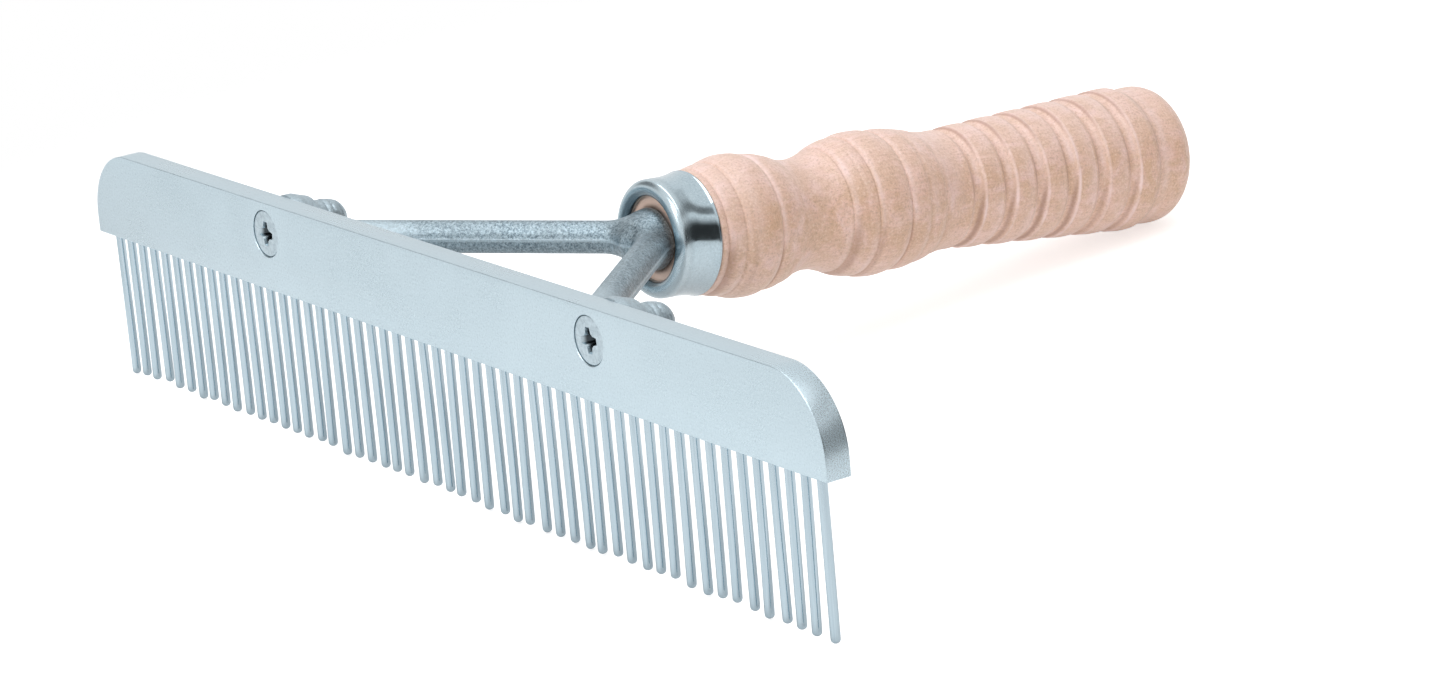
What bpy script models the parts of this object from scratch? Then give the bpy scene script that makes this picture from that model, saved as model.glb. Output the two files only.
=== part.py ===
"""Metal comb with a wooden T-handle, for combing out the coat of horses and cattle.

A flat bar carries a row of blunt round pins. Two flat-head screws hold it to the feet of a cast
Y-shaped fork, whose tang is fixed in a turned wooden handle with a polished ferrule round its neck.

Two frames are used, both in millimetres until a mesh is made:
- the bar frame: X along the bar, Y from the bar's front face towards the handle, Z up from the
  bar's underside, origin on the lower front edge at mid-length;
- the handle frame: the bar frame moved up by HANDLE_RISE and tipped down by HANDLE_TILT, so that
  the handle is turned about its local Y axis.
The whole comb lies as it rests on a bench: on its tooth tips and the butt of the handle.
"""

import math
import random

import bmesh
import bpy
from mathutils import Euler, Matrix, Vector

MM = 0.001

# Bar
BAR_LENGTH = 228.2
BAR_HEIGHT = 16.05
BAR_THICKNESS = 4.65
BAR_CORNER = 13.0

# Teeth
TOOTH_COUNT = 53
TOOTH_PITCH = 25.4 / 6
TOOTH_RADIUS = 0.81
TOOTH_PROJECTION = 26.8
TOOTH_ROOT = 4.7
TOOTH_SETBACK = 1.99
TOOTH_SWAY_DEG = 0.75
TOOTH_LEAN_DEG = 0.25
TOOTH_LENGTH_SPREAD = 0.22
HOLE_CLEARANCE = 0.14
HOLE_EXTRA_DEPTH = 0.3

# Screws
SCREW_SPACING = 102.1
SCREW_HEIGHT = 10.33
SCREW_HEAD_RADIUS = 4.10
SCREW_SHANK_RADIUS = 2.05
SCREW_SINK = 0.12
SCREW_LENGTH = 12.6
SCREW_GAP = 0.28
CONE_HALF_ANGLE = math.radians(41.0)
RECESS_SPAN = 4.3
RECESS_WING = 1.05
RECESS_DEPTH = 2.0

# Handle axis
HANDLE_RISE = 11.21
HANDLE_TILT = math.radians(4.31)

# Fork
ARM_RADIUS = 2.88
ARM_ROOT = 48.9
ARM_ROOT_Z = 7.6
FOOT_CORNER = (41.0, 7.75, 9.95)
FOOT_GAP = 0.08
FOOT_RADIUS = 5.9
BOSS_RADIUS = 3.7
BOSS_END = 16.3
TANG_RADIUS = 4.2
TANG_END = 80.0
TANG_GAP = 0.3

# Ferrule
FERRULE_FRONT = 46.3
FERRULE_BACK = 54.35
FERRULE_RADIUS = 10.42
FERRULE_FLARE = 10.95
FERRULE_MOUTH = 7.7
NECK_RADIUS = 9.2
NECK_FACE = 47.8
NECK_SHOULDER = 54.65

# Grip: six turned grooves on a slowly widening grip, then a shallow cove and a domed butt
GROOVE_FIRST = 110.4
GROOVE_PITCH = 6.82
GROOVE_COUNT = 6
GROOVE_WIDTH = 3.1
GROOVE_DEPTH = 0.55
GRIP_START_RADIUS = 10.87
GRIP_WIDENING = 0.0595
BUTT_COVE = (149.2, 153.0)
BUTT_RADIUS = 12.6
DOME_START = 155.0
DOME_LENGTH = 7.1
DOME_EXPONENT = 2.2
DOME_ROUND = 0.60

# How it rests
REST_TILT = math.radians(5.35)
REST_BACK = 79.80
REST_RISE = 27.28


# Turned beads between the ferrule and the grip: start, end, radius at each, crown (a cove is
# a negative crown)
BEADS = (
    (54.65, 55.9, 10.95, 11.15, 0.06),
    (55.9, 59.3, 11.05, 11.75, 0.12),
    (59.3, 66.7, 11.80, 12.20, 0.60),
    (66.7, 72.8, 12.15, 10.60, 0.38),
    (72.8, 82.1, 10.60, 11.00, -0.98),
    (82.1, 86.9, 11.05, 12.40, 0.20),
    (86.9, 94.2, 12.40, 12.60, 0.42),
    (94.2, 98.3, 12.50, 12.45, 0.12),
    (98.3, 102.4, 12.40, 11.60, 0.05),
    (102.4, 108.85, 11.55, 10.72, -0.32),
)


def clear_scene():
    for obj in list(bpy.data.objects):
        bpy.data.objects.remove(obj, do_unlink=True)


def material(name, colour, roughness, metallic):
    made = bpy.data.materials.new(name)
    made.use_nodes = True
    shader = made.node_tree.nodes["Principled BSDF"]
    shader.inputs["Base Color"].default_value = (*colour, 1.0)
    shader.inputs["Roughness"].default_value = roughness
    shader.inputs["Metallic"].default_value = metallic
    made.diffuse_color = (*colour, 1.0)
    return made


def empty(name, parent=None, location=(0, 0, 0), rotation=(0, 0, 0)):
    made = bpy.data.objects.new(name, None)
    bpy.context.scene.collection.objects.link(made)
    made.parent = parent
    made.location = Vector(location) * MM
    made.rotation_euler = Euler(rotation)
    return made


def link(name, mesh, parent, finish=None, smooth=True):
    made = bpy.data.objects.new(name, mesh)
    bpy.context.scene.collection.objects.link(made)
    made.parent = parent
    if finish is not None and not mesh.materials:
        mesh.materials.append(finish)
    if smooth:
        mesh.shade_smooth()
        mesh.set_sharp_from_angle(angle=math.radians(35))
    return made


def mesh_from(name, build):
    """A mesh in metres from a function that fills a bmesh in millimetres."""
    bm = bmesh.new()
    build(bm)
    bmesh.ops.recalc_face_normals(bm, faces=bm.faces)
    bmesh.ops.scale(bm, vec=(MM, MM, MM), verts=bm.verts)
    mesh = bpy.data.meshes.new(name)
    bm.to_mesh(mesh)
    bm.free()
    return mesh


def lathe(bm, profile, segments, closed=False):
    """Turns (station, radius) points about Y. A radius of 0 makes a pole."""
    rings = []
    for station, radius in profile:
        if radius == 0:
            rings.append([bm.verts.new((0, station, 0))])
            continue
        rings.append(
            [
                bm.verts.new(
                    (
                        radius * math.cos(2 * math.pi * i / segments),
                        station,
                        radius * math.sin(2 * math.pi * i / segments),
                    )
                )
                for i in range(segments)
            ]
        )
    pairs = list(zip(rings, rings[1:]))
    if closed:
        pairs.append((rings[-1], rings[0]))
    for first, second in pairs:
        for i in range(segments):
            j = (i + 1) % segments
            if len(first) == 1:
                bm.faces.new((first[0], second[i], second[j]))
            elif len(second) == 1:
                bm.faces.new((first[i], first[j], second[0]))
            else:
                bm.faces.new((first[i], first[j], second[j], second[i]))


def tube(bm, path, radius, sides):
    """Sweeps a circle along a path of points, with flat ends."""
    points = [Vector(p) for p in path]
    rings = []
    for index, point in enumerate(points):
        before = points[max(index - 1, 0)]
        after = points[min(index + 1, len(points) - 1)]
        along = (after - before).normalized()
        across = along.cross(Vector((0, 0, 1))).normalized()
        upward = across.cross(along).normalized()
        rings.append(
            [
                bm.verts.new(
                    point
                    + across * radius * math.cos(2 * math.pi * i / sides)
                    + upward * radius * math.sin(2 * math.pi * i / sides)
                )
                for i in range(sides)
            ]
        )
    for first, second in zip(rings, rings[1:]):
        for i in range(sides):
            j = (i + 1) % sides
            bm.faces.new((first[i], first[j], second[j], second[i]))
    bm.faces.new(rings[0])
    bm.faces.new(rings[-1])


def prism(bm, outline, low, high):
    """Extrudes a closed outline of (x, z) points from y = low to y = high."""
    near = [bm.verts.new((x, low, z)) for x, z in outline]
    far = [bm.verts.new((x, high, z)) for x, z in outline]
    bm.faces.new(near)
    bm.faces.new(far)
    for i in range(len(outline)):
        j = (i + 1) % len(outline)
        bm.faces.new((near[i], near[j], far[j], far[i]))


def helper(name, mesh, parent):
    """A cutter or a piece to be joined: it is not a part of its own."""
    made = link(name, mesh, parent, smooth=False)
    made.hide_render = True
    made.display_type = "WIRE"
    return made


def boolean(target, other, operation):
    modifier = target.modifiers.new(f"{operation.lower()} {other.name}", "BOOLEAN")
    modifier.operation = operation
    modifier.solver = "EXACT"
    modifier.object = other


# ---------------------------------------------------------------- bar and teeth


def bar_outline(steps=10):
    half = BAR_LENGTH / 2
    centre_x = half - BAR_CORNER
    centre_z = BAR_HEIGHT - BAR_CORNER
    right = [
        (
            centre_x + BAR_CORNER * math.cos(math.pi / 2 * i / steps),
            centre_z + BAR_CORNER * math.sin(math.pi / 2 * i / steps),
        )
        for i in range(steps + 1)
    ]
    left = [(-x, z) for x, z in reversed(right)]
    return [(-half, 0.0), (half, 0.0)] + right + left


def tooth_profile(extra=0.0):
    """Root to tip, along Y pointing down the tooth, with a rounded blunt tip."""
    radius = TOOTH_RADIUS + extra
    end = TOOTH_PROJECTION
    return [
        (-TOOTH_ROOT, 0),
        (-TOOTH_ROOT, radius),
        (end - TOOTH_RADIUS, radius),
        (end - TOOTH_RADIUS * 0.45, radius * 0.84),
        (end - TOOTH_RADIUS * 0.10, radius * 0.44),
        (end, 0),
    ]


def tooth_placements():
    """Where each tooth stands: hand-set pins are never quite parallel or of one length."""
    rng = random.Random(53)
    places = []
    for index in range(TOOTH_COUNT):
        x = (index - (TOOTH_COUNT - 1) / 2) * TOOTH_PITCH
        sway = max(-1.2, min(1.2, rng.gauss(0, TOOTH_SWAY_DEG)))
        lean = max(-0.5, min(0.5, rng.gauss(0, TOOTH_LEAN_DEG)))
        drop = max(-0.4, min(0.4, rng.gauss(0, TOOTH_LENGTH_SPREAD)))
        places.append((x, math.radians(sway), math.radians(lean), drop))
    return places


def tooth_matrix(place):
    """Local +Y runs down the tooth. It turns about the point where it leaves the bar."""
    x, sway, lean, drop = place
    turn = (
        Matrix.Rotation(sway, 4, "Y")
        @ Matrix.Rotation(lean, 4, "X")
        @ Matrix.Rotation(-math.pi / 2, 4, "X")
    )
    shift = Matrix.Translation(Vector((x, TOOTH_SETBACK, 0)) * MM)
    slide = Matrix.Translation(Vector((0, -drop, 0)) * MM)
    return shift @ turn @ slide


def make_bar(frame, finish, screw_cutters):
    bar = link(
        "comb_bar",
        mesh_from("comb_bar", lambda bm: prism(bm, bar_outline(), 0, BAR_THICKNESS)),
        frame,
        finish,
    )

    def holes(bm):
        for place in tooth_placements():
            one = bmesh.new()
            lathe(
                one,
                [
                    (-TOOTH_ROOT - HOLE_EXTRA_DEPTH, 0),
                    (-TOOTH_ROOT - HOLE_EXTRA_DEPTH, TOOTH_RADIUS + HOLE_CLEARANCE),
                    (2.0, TOOTH_RADIUS + HOLE_CLEARANCE),
                    (2.0, 0),
                ],
                10,
            )
            bmesh.ops.scale(one, vec=(MM, MM, MM), verts=one.verts)
            bmesh.ops.transform(one, matrix=tooth_matrix(place), verts=one.verts)
            bmesh.ops.scale(one, vec=(1 / MM, 1 / MM, 1 / MM), verts=one.verts)
            copies = {v: bm.verts.new(v.co) for v in one.verts}
            for face in one.faces:
                bm.faces.new([copies[v] for v in face.verts])
            one.free()

    boolean(bar, helper("cut_tooth_holes", mesh_from("cut_tooth_holes", holes), frame), "DIFFERENCE")
    for cutter in screw_cutters:
        boolean(bar, cutter, "DIFFERENCE")
    return bar


def make_teeth(frame, finish):
    mesh = mesh_from("tooth", lambda bm: lathe(bm, tooth_profile(), 10))
    for index, place in enumerate(tooth_placements()):
        tooth = link(f"tooth_{index + 1:02d}", mesh, frame, finish)
        tooth.matrix_local = tooth_matrix(place)


# ---------------------------------------------------------------- screws


def screw_profile():
    head = SCREW_HEAD_RADIUS
    shank = SCREW_SHANK_RADIUS
    land = SCREW_SINK + 0.2
    neck = land + (head - shank) / math.tan(CONE_HALF_ANGLE)
    return [
        (SCREW_SINK, 0),
        (SCREW_SINK, head - 0.08),
        (SCREW_SINK + 0.08, head),
        (land, head),
        (neck, shank),
        (SCREW_LENGTH - 0.6, shank),
        (SCREW_LENGTH, shank - 0.6),
        (SCREW_LENGTH, 0),
    ]


def countersink_profile():
    head = SCREW_HEAD_RADIUS + 0.22
    shank = SCREW_SHANK_RADIUS + SCREW_GAP
    land = SCREW_SINK + 0.45
    neck = land + (head - shank) / math.tan(CONE_HALF_ANGLE)
    return [(-1, 0), (-1, head), (land, head), (neck, shank), (8.0, shank), (8.0, 0)]


def recess(bm):
    """A cross recess that narrows towards its floor."""

    def cross(span, wing, y):
        a, b = span / 2, wing / 2
        outline = [
            (a, b), (b * 1.5, b * 1.5), (b, a), (-b, a), (-b * 1.5, b * 1.5), (-a, b),
            (-a, -b), (-b * 1.5, -b * 1.5), (-b, -a), (b, -a), (b * 1.5, -b * 1.5), (a, -b),
        ]
        return [bm.verts.new((x, y, z)) for x, z in outline]

    near = cross(RECESS_SPAN, RECESS_WING, -0.3)
    far = cross(RECESS_SPAN * 0.42, RECESS_WING * 0.7, RECESS_DEPTH + SCREW_SINK)
    bm.faces.new(near)
    bm.faces.new(far)
    for i in range(12):
        j = (i + 1) % 12
        bm.faces.new((near[i], near[j], far[j], far[i]))


def make_screws(frame, finish):
    mesh = mesh_from("screw", lambda bm: lathe(bm, screw_profile(), 24))
    cutters = []
    for side, name, turn in ((-1, "left", 4.0), (1, "right", -5.0)):
        place = (side * SCREW_SPACING / 2, 0, SCREW_HEIGHT)
        axis = empty(f"screw_axis_{name}", frame, place, (0, math.radians(turn), 0))
        screw = link(f"screw_{name}", mesh.copy(), axis, finish)
        driver = helper(f"cut_recess_{name}", mesh_from("cut_recess", recess), axis)
        boolean(screw, driver, "DIFFERENCE")
        sink = mesh_from("cut_countersink", lambda bm: lathe(bm, countersink_profile(), 24))
        cutters.append(helper(f"cut_countersink_{name}", sink, axis))
    return cutters


# ---------------------------------------------------------------- fork


def arms_path():
    """From foot to foot: along the back of the bar, round a short bend, up to the hub at 45
    degrees, and down again on the other side."""
    top = Vector((0.0, ARM_ROOT, ARM_ROOT_Z))
    corner = Vector(FOOT_CORNER)
    end = Vector((SCREW_SPACING / 2, FOOT_CORNER[1], SCREW_HEIGHT))
    back = (top - corner).normalized()
    onward = (end - corner).normalized()
    bend_in = corner + back * 3.0
    bend_out = corner + onward * 3.0
    path = [top, top.lerp(bend_in, 0.5)]
    for step in range(5):
        t = step / 4
        path.append(bend_in.lerp(corner, t).lerp(corner.lerp(bend_out, t), t))
    path.append(end)
    return [(-p.x, p.y, p.z) for p in path[:0:-1]] + [tuple(p) for p in path]


def foot_profile():
    """A flat-faced eye with a coned back and a round boss that ends in a dome."""
    face = BAR_THICKNESS + FOOT_GAP
    return [
        (face, 0),
        (face, FOOT_RADIUS),
        (6.5, FOOT_RADIUS),
        (7.5, FOOT_RADIUS - 0.4),
        (9.4, FOOT_RADIUS - 1.0),
        (10.2, BOSS_RADIUS + 0.1),
        (12.4, BOSS_RADIUS - 0.1),
        (14.0, BOSS_RADIUS - 0.4),
        (15.3, BOSS_RADIUS - 1.2),
        (16.0, BOSS_RADIUS - 2.4),
        (BOSS_END, 0),
    ]


def make_fork(frame, handle_axis, finish):
    """Two arms and a hub, cut off flat in front of the wood, then the tang and the feet."""
    hub_end = NECK_FACE - TANG_GAP
    hub = [(41.2, 0), (41.8, 1.9), (43.0, 3.4), (45.0, 4.45), (46.6, 5.1), (49.5, 5.5), (49.5, 0)]
    behind = [(hub_end, 0), (hub_end, 12.0), (60.0, 12.0), (60.0, 0)]
    tang = [
        (45.0, 0),
        (45.0, TANG_RADIUS - 0.6),
        (47.0, TANG_RADIUS),
        (TANG_END - 1.0, TANG_RADIUS),
        (TANG_END, TANG_RADIUS - 1.0),
        (TANG_END, 0),
    ]
    arms = mesh_from("fork", lambda bm: tube(bm, arms_path(), ARM_RADIUS, 16))
    fork = link("fork", arms, frame, finish)
    for name, profile, operation in (
        ("join_hub", hub, "UNION"),
        ("cut_behind_hub", behind, "DIFFERENCE"),
        ("join_tang", tang, "UNION"),
    ):
        mesh = mesh_from(name, lambda bm: lathe(bm, profile, 24))
        boolean(fork, helper(name, mesh, handle_axis), operation)
    for side, name in ((-1, "left"), (1, "right")):
        place = (side * SCREW_SPACING / 2, 0, SCREW_HEIGHT)
        axis = empty(f"foot_axis_{name}", frame, place, (0, math.radians(7.0), 0))
        foot = mesh_from("foot", lambda bm: lathe(bm, foot_profile(), 24))
        boolean(fork, helper(f"join_foot_{name}", foot, axis), "UNION")
        bore = [
            (2.0, 0),
            (2.0, SCREW_SHANK_RADIUS + SCREW_GAP),
            (SCREW_LENGTH + 0.4, SCREW_SHANK_RADIUS + SCREW_GAP),
            (SCREW_LENGTH + 0.4, 0),
        ]
        hole = mesh_from("cut_boss_hole", lambda bm: lathe(bm, bore, 16))
        boolean(fork, helper(f"cut_boss_hole_{name}", hole, axis), "DIFFERENCE")
    return fork


# ---------------------------------------------------------------- ferrule and handle


def ferrule_profile():
    """A collar whose front rolls in to a rounded lip and whose back edge flares a little."""
    outer = [
        (FERRULE_BACK, FERRULE_FLARE),
        (53.2, FERRULE_FLARE - 0.12),
        (51.4, FERRULE_RADIUS + 0.16),
        (48.4, FERRULE_RADIUS),
    ]
    lip = []
    middle = (FERRULE_RADIUS + FERRULE_MOUTH) / 2
    half = (FERRULE_RADIUS - FERRULE_MOUTH) / 2
    for step in range(1, 8):
        angle = math.pi * step / 8
        lip.append((47.5 - (47.5 - FERRULE_FRONT) * math.sin(angle), middle + half * math.cos(angle)))
    inner = [
        (47.35, FERRULE_MOUTH),
        (47.5, FERRULE_MOUTH + 0.4),
        (47.5, NECK_RADIUS),
        (47.9, NECK_RADIUS + 0.27),
        (51.4, NECK_RADIUS + 0.35),
        (FERRULE_BACK, NECK_RADIUS + 0.75),
    ]
    return outer + lip + inner


def grip_radius(station):
    for start, end, first, last, crown in BEADS:
        if start <= station < end:
            t = (station - start) / (end - start)
            return first + (last - first) * t + crown * 4 * t * (1 - t)
    widening = GRIP_START_RADIUS + (station - 112.0) * GRIP_WIDENING
    if station < BUTT_COVE[0]:
        nearest = min(max(round((station - GROOVE_FIRST) / GROOVE_PITCH), 0), GROOVE_COUNT - 1)
        offset = station - (GROOVE_FIRST + GROOVE_PITCH * nearest) + GROOVE_WIDTH / 2
        if 0 <= offset <= GROOVE_WIDTH:
            return widening - GROOVE_DEPTH * math.sin(math.pi * (offset / GROOVE_WIDTH) ** 0.6)
        return widening + 0.04
    if station < BUTT_COVE[1]:
        t = (station - BUTT_COVE[0]) / (BUTT_COVE[1] - BUTT_COVE[0])
        return 13.0 - 0.5 * t - 0.16 * 4 * t * (1 - t)
    if station < DOME_START:
        return 12.5 + (BUTT_RADIUS - 12.5) * (station - BUTT_COVE[1]) / (DOME_START - BUTT_COVE[1])
    t = min((station - DOME_START) / DOME_LENGTH, 1.0)
    return BUTT_RADIUS * (1 - t**DOME_EXPONENT) ** DOME_ROUND


def grip_stations():
    """Stations along the grip: a few in each bead, five across each groove, and the dome."""
    stations = []
    for start, end, _first, _last, _crown in BEADS:
        count = max(2, round((end - start) / 2.6))
        stations += [start + (end - start - 0.02) * i / count for i in range(count)]
        stations.append(end - 0.02)
    for k in range(GROOVE_COUNT):
        start = GROOVE_FIRST + GROOVE_PITCH * k - GROOVE_WIDTH / 2
        stations += [start + GROOVE_WIDTH * f for f in (0.0, 0.2, 0.5, 1.0)]
    stations += [BUTT_COVE[0] - 0.02, 151.2, BUTT_COVE[1], DOME_START]
    stations += [DOME_START + DOME_LENGTH * f for f in (0.25, 0.5, 0.72, 0.88, 0.96)]
    return stations


def handle_profile():
    bore = TANG_RADIUS + 0.3
    profile = [(TANG_END + 1.0, 0), (TANG_END + 1.0, bore), (NECK_FACE, bore)]
    profile += [(NECK_FACE, NECK_RADIUS - 0.3), (NECK_FACE + 0.3, NECK_RADIUS)]
    profile += [(NECK_SHOULDER, NECK_RADIUS)]
    profile += [(s, grip_radius(s)) for s in grip_stations()]
    profile.append((DOME_START + DOME_LENGTH, 0))
    return profile


def main():
    clear_scene()
    satin = material("satin_bar_metal", (0.66, 0.73, 0.77), 0.34, 1.0)
    pin_steel = material("pin_steel", (0.62, 0.67, 0.70), 0.28, 1.0)
    screw_steel = material("screw_steel", (0.60, 0.63, 0.66), 0.30, 1.0)
    cast = material("cast_fork_metal", (0.40, 0.44, 0.47), 0.45, 1.0)
    polished = material("polished_ferrule", (0.78, 0.82, 0.85), 0.10, 1.0)
    wood = material("pale_hardwood", (0.79, 0.55, 0.41), 0.55, 0.0)

    frame = empty("bar_frame", None, (0, -REST_BACK, REST_RISE), (-REST_TILT, 0, 0))
    handle_axis = empty("handle_axis", frame, (0, 0, HANDLE_RISE), (-HANDLE_TILT, 0, 0))

    cutters = make_screws(frame, screw_steel)
    make_bar(frame, satin, cutters)
    make_teeth(frame, pin_steel)
    make_fork(frame, handle_axis, cast)
    link(
        "ferrule",
        mesh_from("ferrule", lambda bm: lathe(bm, ferrule_profile(), 32, closed=True)),
        handle_axis,
        polished,
    )
    link(
        "handle", mesh_from("handle", lambda bm: lathe(bm, handle_profile(), 28)), handle_axis, wood
    )


main()
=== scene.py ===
"""Looks for the grooming comb: finer versions of its parts, their materials, a pale floor, soft
studio light and the camera.

Two frames are used, both in millimetres, and both come from the same sizes as the CAD part:
- the bar frame: X along the bar, Y from its front face towards the handle, Z up from its underside;
- the handle frame: Y along the handle's axis, moved up and tipped from the bar frame.
Every new mesh is built in one of them and placed in the row frame in metres. Each carries a
point attribute "local", its own coordinates in millimetres, which its material reads.
"""

import math
import random

import bmesh
import bpy
import numpy as np
from mathutils import Euler, Matrix, Vector


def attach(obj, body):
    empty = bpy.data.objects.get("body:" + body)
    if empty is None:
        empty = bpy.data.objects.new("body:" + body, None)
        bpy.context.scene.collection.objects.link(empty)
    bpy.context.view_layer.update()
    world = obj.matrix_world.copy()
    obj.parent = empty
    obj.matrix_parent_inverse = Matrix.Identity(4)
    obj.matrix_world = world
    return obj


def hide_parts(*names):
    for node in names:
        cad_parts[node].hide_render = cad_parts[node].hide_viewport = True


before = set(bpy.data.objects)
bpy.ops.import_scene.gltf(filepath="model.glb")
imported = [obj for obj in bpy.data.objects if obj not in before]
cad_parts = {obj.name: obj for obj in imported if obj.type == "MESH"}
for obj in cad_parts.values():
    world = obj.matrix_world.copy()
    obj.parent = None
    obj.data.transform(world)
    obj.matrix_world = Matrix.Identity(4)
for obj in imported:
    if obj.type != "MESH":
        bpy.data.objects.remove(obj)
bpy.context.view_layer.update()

MM = 0.001

# ---------------------------------------------------------------- sizes shared with the CAD part

BAR_LENGTH = 228.2
BAR_HEIGHT = 16.05
BAR_THICKNESS = 4.65
BAR_CORNER = 13.0

TOOTH_COUNT = 53
TOOTH_PITCH = 25.4 / 6
TOOTH_RADIUS = 0.81
TOOTH_PROJECTION = 26.8
TOOTH_ROOT = 4.7
TOOTH_SETBACK = 1.99
TOOTH_SWAY_DEG = 0.75
TOOTH_LEAN_DEG = 0.25
TOOTH_LENGTH_SPREAD = 0.22

SCREW_SPACING = 102.1
SCREW_HEIGHT = 10.33
SCREW_HEAD_RADIUS = 4.10
SCREW_SHANK_RADIUS = 2.05
SCREW_LENGTH = 12.6
SCREW_SINK = 0.12
SCREW_TURNS = {"left": 4.0, "right": -5.0}
CONE_HALF_ANGLE = math.radians(41.0)

HANDLE_RISE = 11.21
HANDLE_TILT = math.radians(4.31)
REST_TILT = math.radians(5.35)
REST_BACK = 79.80
REST_RISE = 27.28

ARM_RADIUS = 2.88
ARM_ROOT = (0.0, 48.9, 7.6)
FOOT_CORNER = (41.0, 7.75, 9.95)
FOOT_FACE = 4.73
TANG_RADIUS = 4.2
TANG_END = 80.0

NECK_FACE = 47.8
HUB_END = 47.5
FERRULE_BACK = 54.35

GROOVE_FIRST = 110.2
GROOVE_PITCH = 6.76
GROOVE_COUNT = 6
GROOVE_WIDTH = 3.1
GROOVE_DEPTH = 0.55
BUTT_COVE = (149.2, 153.0)
BUTT_RADIUS = 12.6
DOME_START = 155.0
DOME_LENGTH = 7.1

BAR_TO_ROW = (
    Matrix.Translation(Vector((0, -REST_BACK, REST_RISE)) * MM)
    @ Matrix.Rotation(-REST_TILT, 4, "X")
    @ Matrix.Scale(MM, 4)
)
HANDLE_TO_ROW = (
    BAR_TO_ROW
    @ Matrix.Translation(Vector((0, 0, HANDLE_RISE)))
    @ Matrix.Rotation(-HANDLE_TILT, 4, "X")
)


# ---------------------------------------------------------------- meshes


def new_object(name, points, faces, place, smooth_angle=35.0, local=None, extra=None):
    """A piece from points in millimetres and faces, placed by a matrix to the row frame."""
    points = np.asarray(points, float)
    mesh = bpy.data.meshes.new(name)
    mesh.from_pydata(points.tolist(), [], faces)
    attribute = mesh.attributes.new("local", "FLOAT_VECTOR", "POINT")
    held = points if local is None else np.asarray(local, float)
    attribute.data.foreach_set("vector", held.astype(np.float32).ravel())
    for key, values in (extra or {}).items():
        one = mesh.attributes.new(key, "FLOAT", "POINT")
        one.data.foreach_set("value", np.asarray(values, np.float32).ravel())
    made = bpy.data.objects.new(name, mesh)
    bpy.context.scene.collection.objects.link(made)
    mesh.transform(place)
    bm = bmesh.new()
    bm.from_mesh(mesh)
    bmesh.ops.recalc_face_normals(bm, faces=bm.faces)
    bm.to_mesh(mesh)
    bm.free()
    mesh.shade_smooth()
    if smooth_angle < 180:
        mesh.set_sharp_from_angle(angle=math.radians(smooth_angle))
    return made


def ring_faces(rings, segments, first_pole=False, last_pole=False, closed=False):
    """Faces of a lathed surface whose points are laid out ring by ring, after any first pole."""
    faces = []
    start = 1 if first_pole else 0
    for k in range(rings - 1 + (1 if closed else 0)):
        a = start + k * segments
        b = start + ((k + 1) % rings) * segments
        for i in range(segments):
            j = (i + 1) % segments
            faces.append((a + i, a + j, b + j, b + i))
    if first_pole:
        faces += [(0, start + (i + 1) % segments, start + i) for i in range(segments)]
    if last_pole:
        end = start + rings * segments
        a = start + (rings - 1) * segments
        faces += [(end, a + i, a + (i + 1) % segments) for i in range(segments)]
    return faces


def turned(profile, segments, warp=None):
    """Points and faces of (station, radius) turned about Y. Radius 0 at an end makes a pole.
    warp(stations, angles) gives an addition to the radius."""
    profile = list(profile)
    first_pole = profile[0][1] == 0
    last_pole = profile[-1][1] == 0
    body = profile[1 if first_pole else 0 : len(profile) - (1 if last_pole else 0)]
    station = np.array([p[0] for p in body])[:, None]
    radius = np.array([p[1] for p in body])[:, None]
    angle = (2 * np.pi * np.arange(segments) / segments)[None, :]
    if warp is not None:
        radius = radius + warp(station, angle)
    else:
        radius = radius + 0 * angle
    x = radius * np.cos(angle)
    z = radius * np.sin(angle)
    y = station + 0 * angle
    points = np.stack([x, y, z], -1).reshape(-1, 3)
    if first_pole:
        points = np.vstack([[[0, profile[0][0], 0]], points])
    if last_pole:
        points = np.vstack([points, [[0, profile[-1][0], 0]]])
    return points, ring_faces(len(body), segments, first_pole, last_pole)


def smooth_step(edge0, edge1, x):
    t = np.clip((x - edge0) / (edge1 - edge0), 0, 1)
    return t * t * (3 - 2 * t)


def arc(centre, radius, start_deg, end_deg, steps):
    """Points of an arc in the (station, radius) plane."""
    return [
        (
            centre[0] + radius * math.cos(math.radians(start_deg + (end_deg - start_deg) * i / steps)),
            centre[1] + radius * math.sin(math.radians(start_deg + (end_deg - start_deg) * i / steps)),
        )
        for i in range(steps + 1)
    ]


def helper(name, points, faces):
    """A cutter in bar-frame millimetres. It is removed after use."""
    mesh = bpy.data.meshes.new(name)
    mesh.from_pydata([tuple(p) for p in points], [], faces)
    bm = bmesh.new()
    bm.from_mesh(mesh)
    bmesh.ops.recalc_face_normals(bm, faces=bm.faces)
    bm.to_mesh(mesh)
    bm.free()
    made = bpy.data.objects.new(name, mesh)
    bpy.context.scene.collection.objects.link(made)
    return made


def evaluated_mesh(obj):
    bpy.context.view_layer.update()
    graph = bpy.context.evaluated_depsgraph_get()
    return bpy.data.meshes.new_from_object(obj.evaluated_get(graph), depsgraph=graph)


def cut(obj, cutters):
    for cutter in cutters:
        modifier = obj.modifiers.new("cut", "BOOLEAN")
        modifier.operation = "DIFFERENCE"
        modifier.solver = "EXACT"
        modifier.object = cutter


def drop(objects):
    for obj in objects:
        mesh = obj.data
        bpy.data.objects.remove(obj, do_unlink=True)
        bpy.data.meshes.remove(mesh)


def add_local(mesh, matrix=None):
    """Stores the mesh's present coordinates, in millimetres, as its "local" attribute."""
    count = len(mesh.vertices)
    points = np.empty(count * 3, np.float32)
    mesh.vertices.foreach_get("co", points)
    if matrix is not None:
        m = np.array(matrix, float)
        points = (points.reshape(-1, 3) @ m[:3, :3].T + m[:3, 3]).astype(np.float32).ravel()
    attribute = mesh.attributes.get("local") or mesh.attributes.new("local", "FLOAT_VECTOR", "POINT")
    attribute.data.foreach_set("vector", points)


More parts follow.
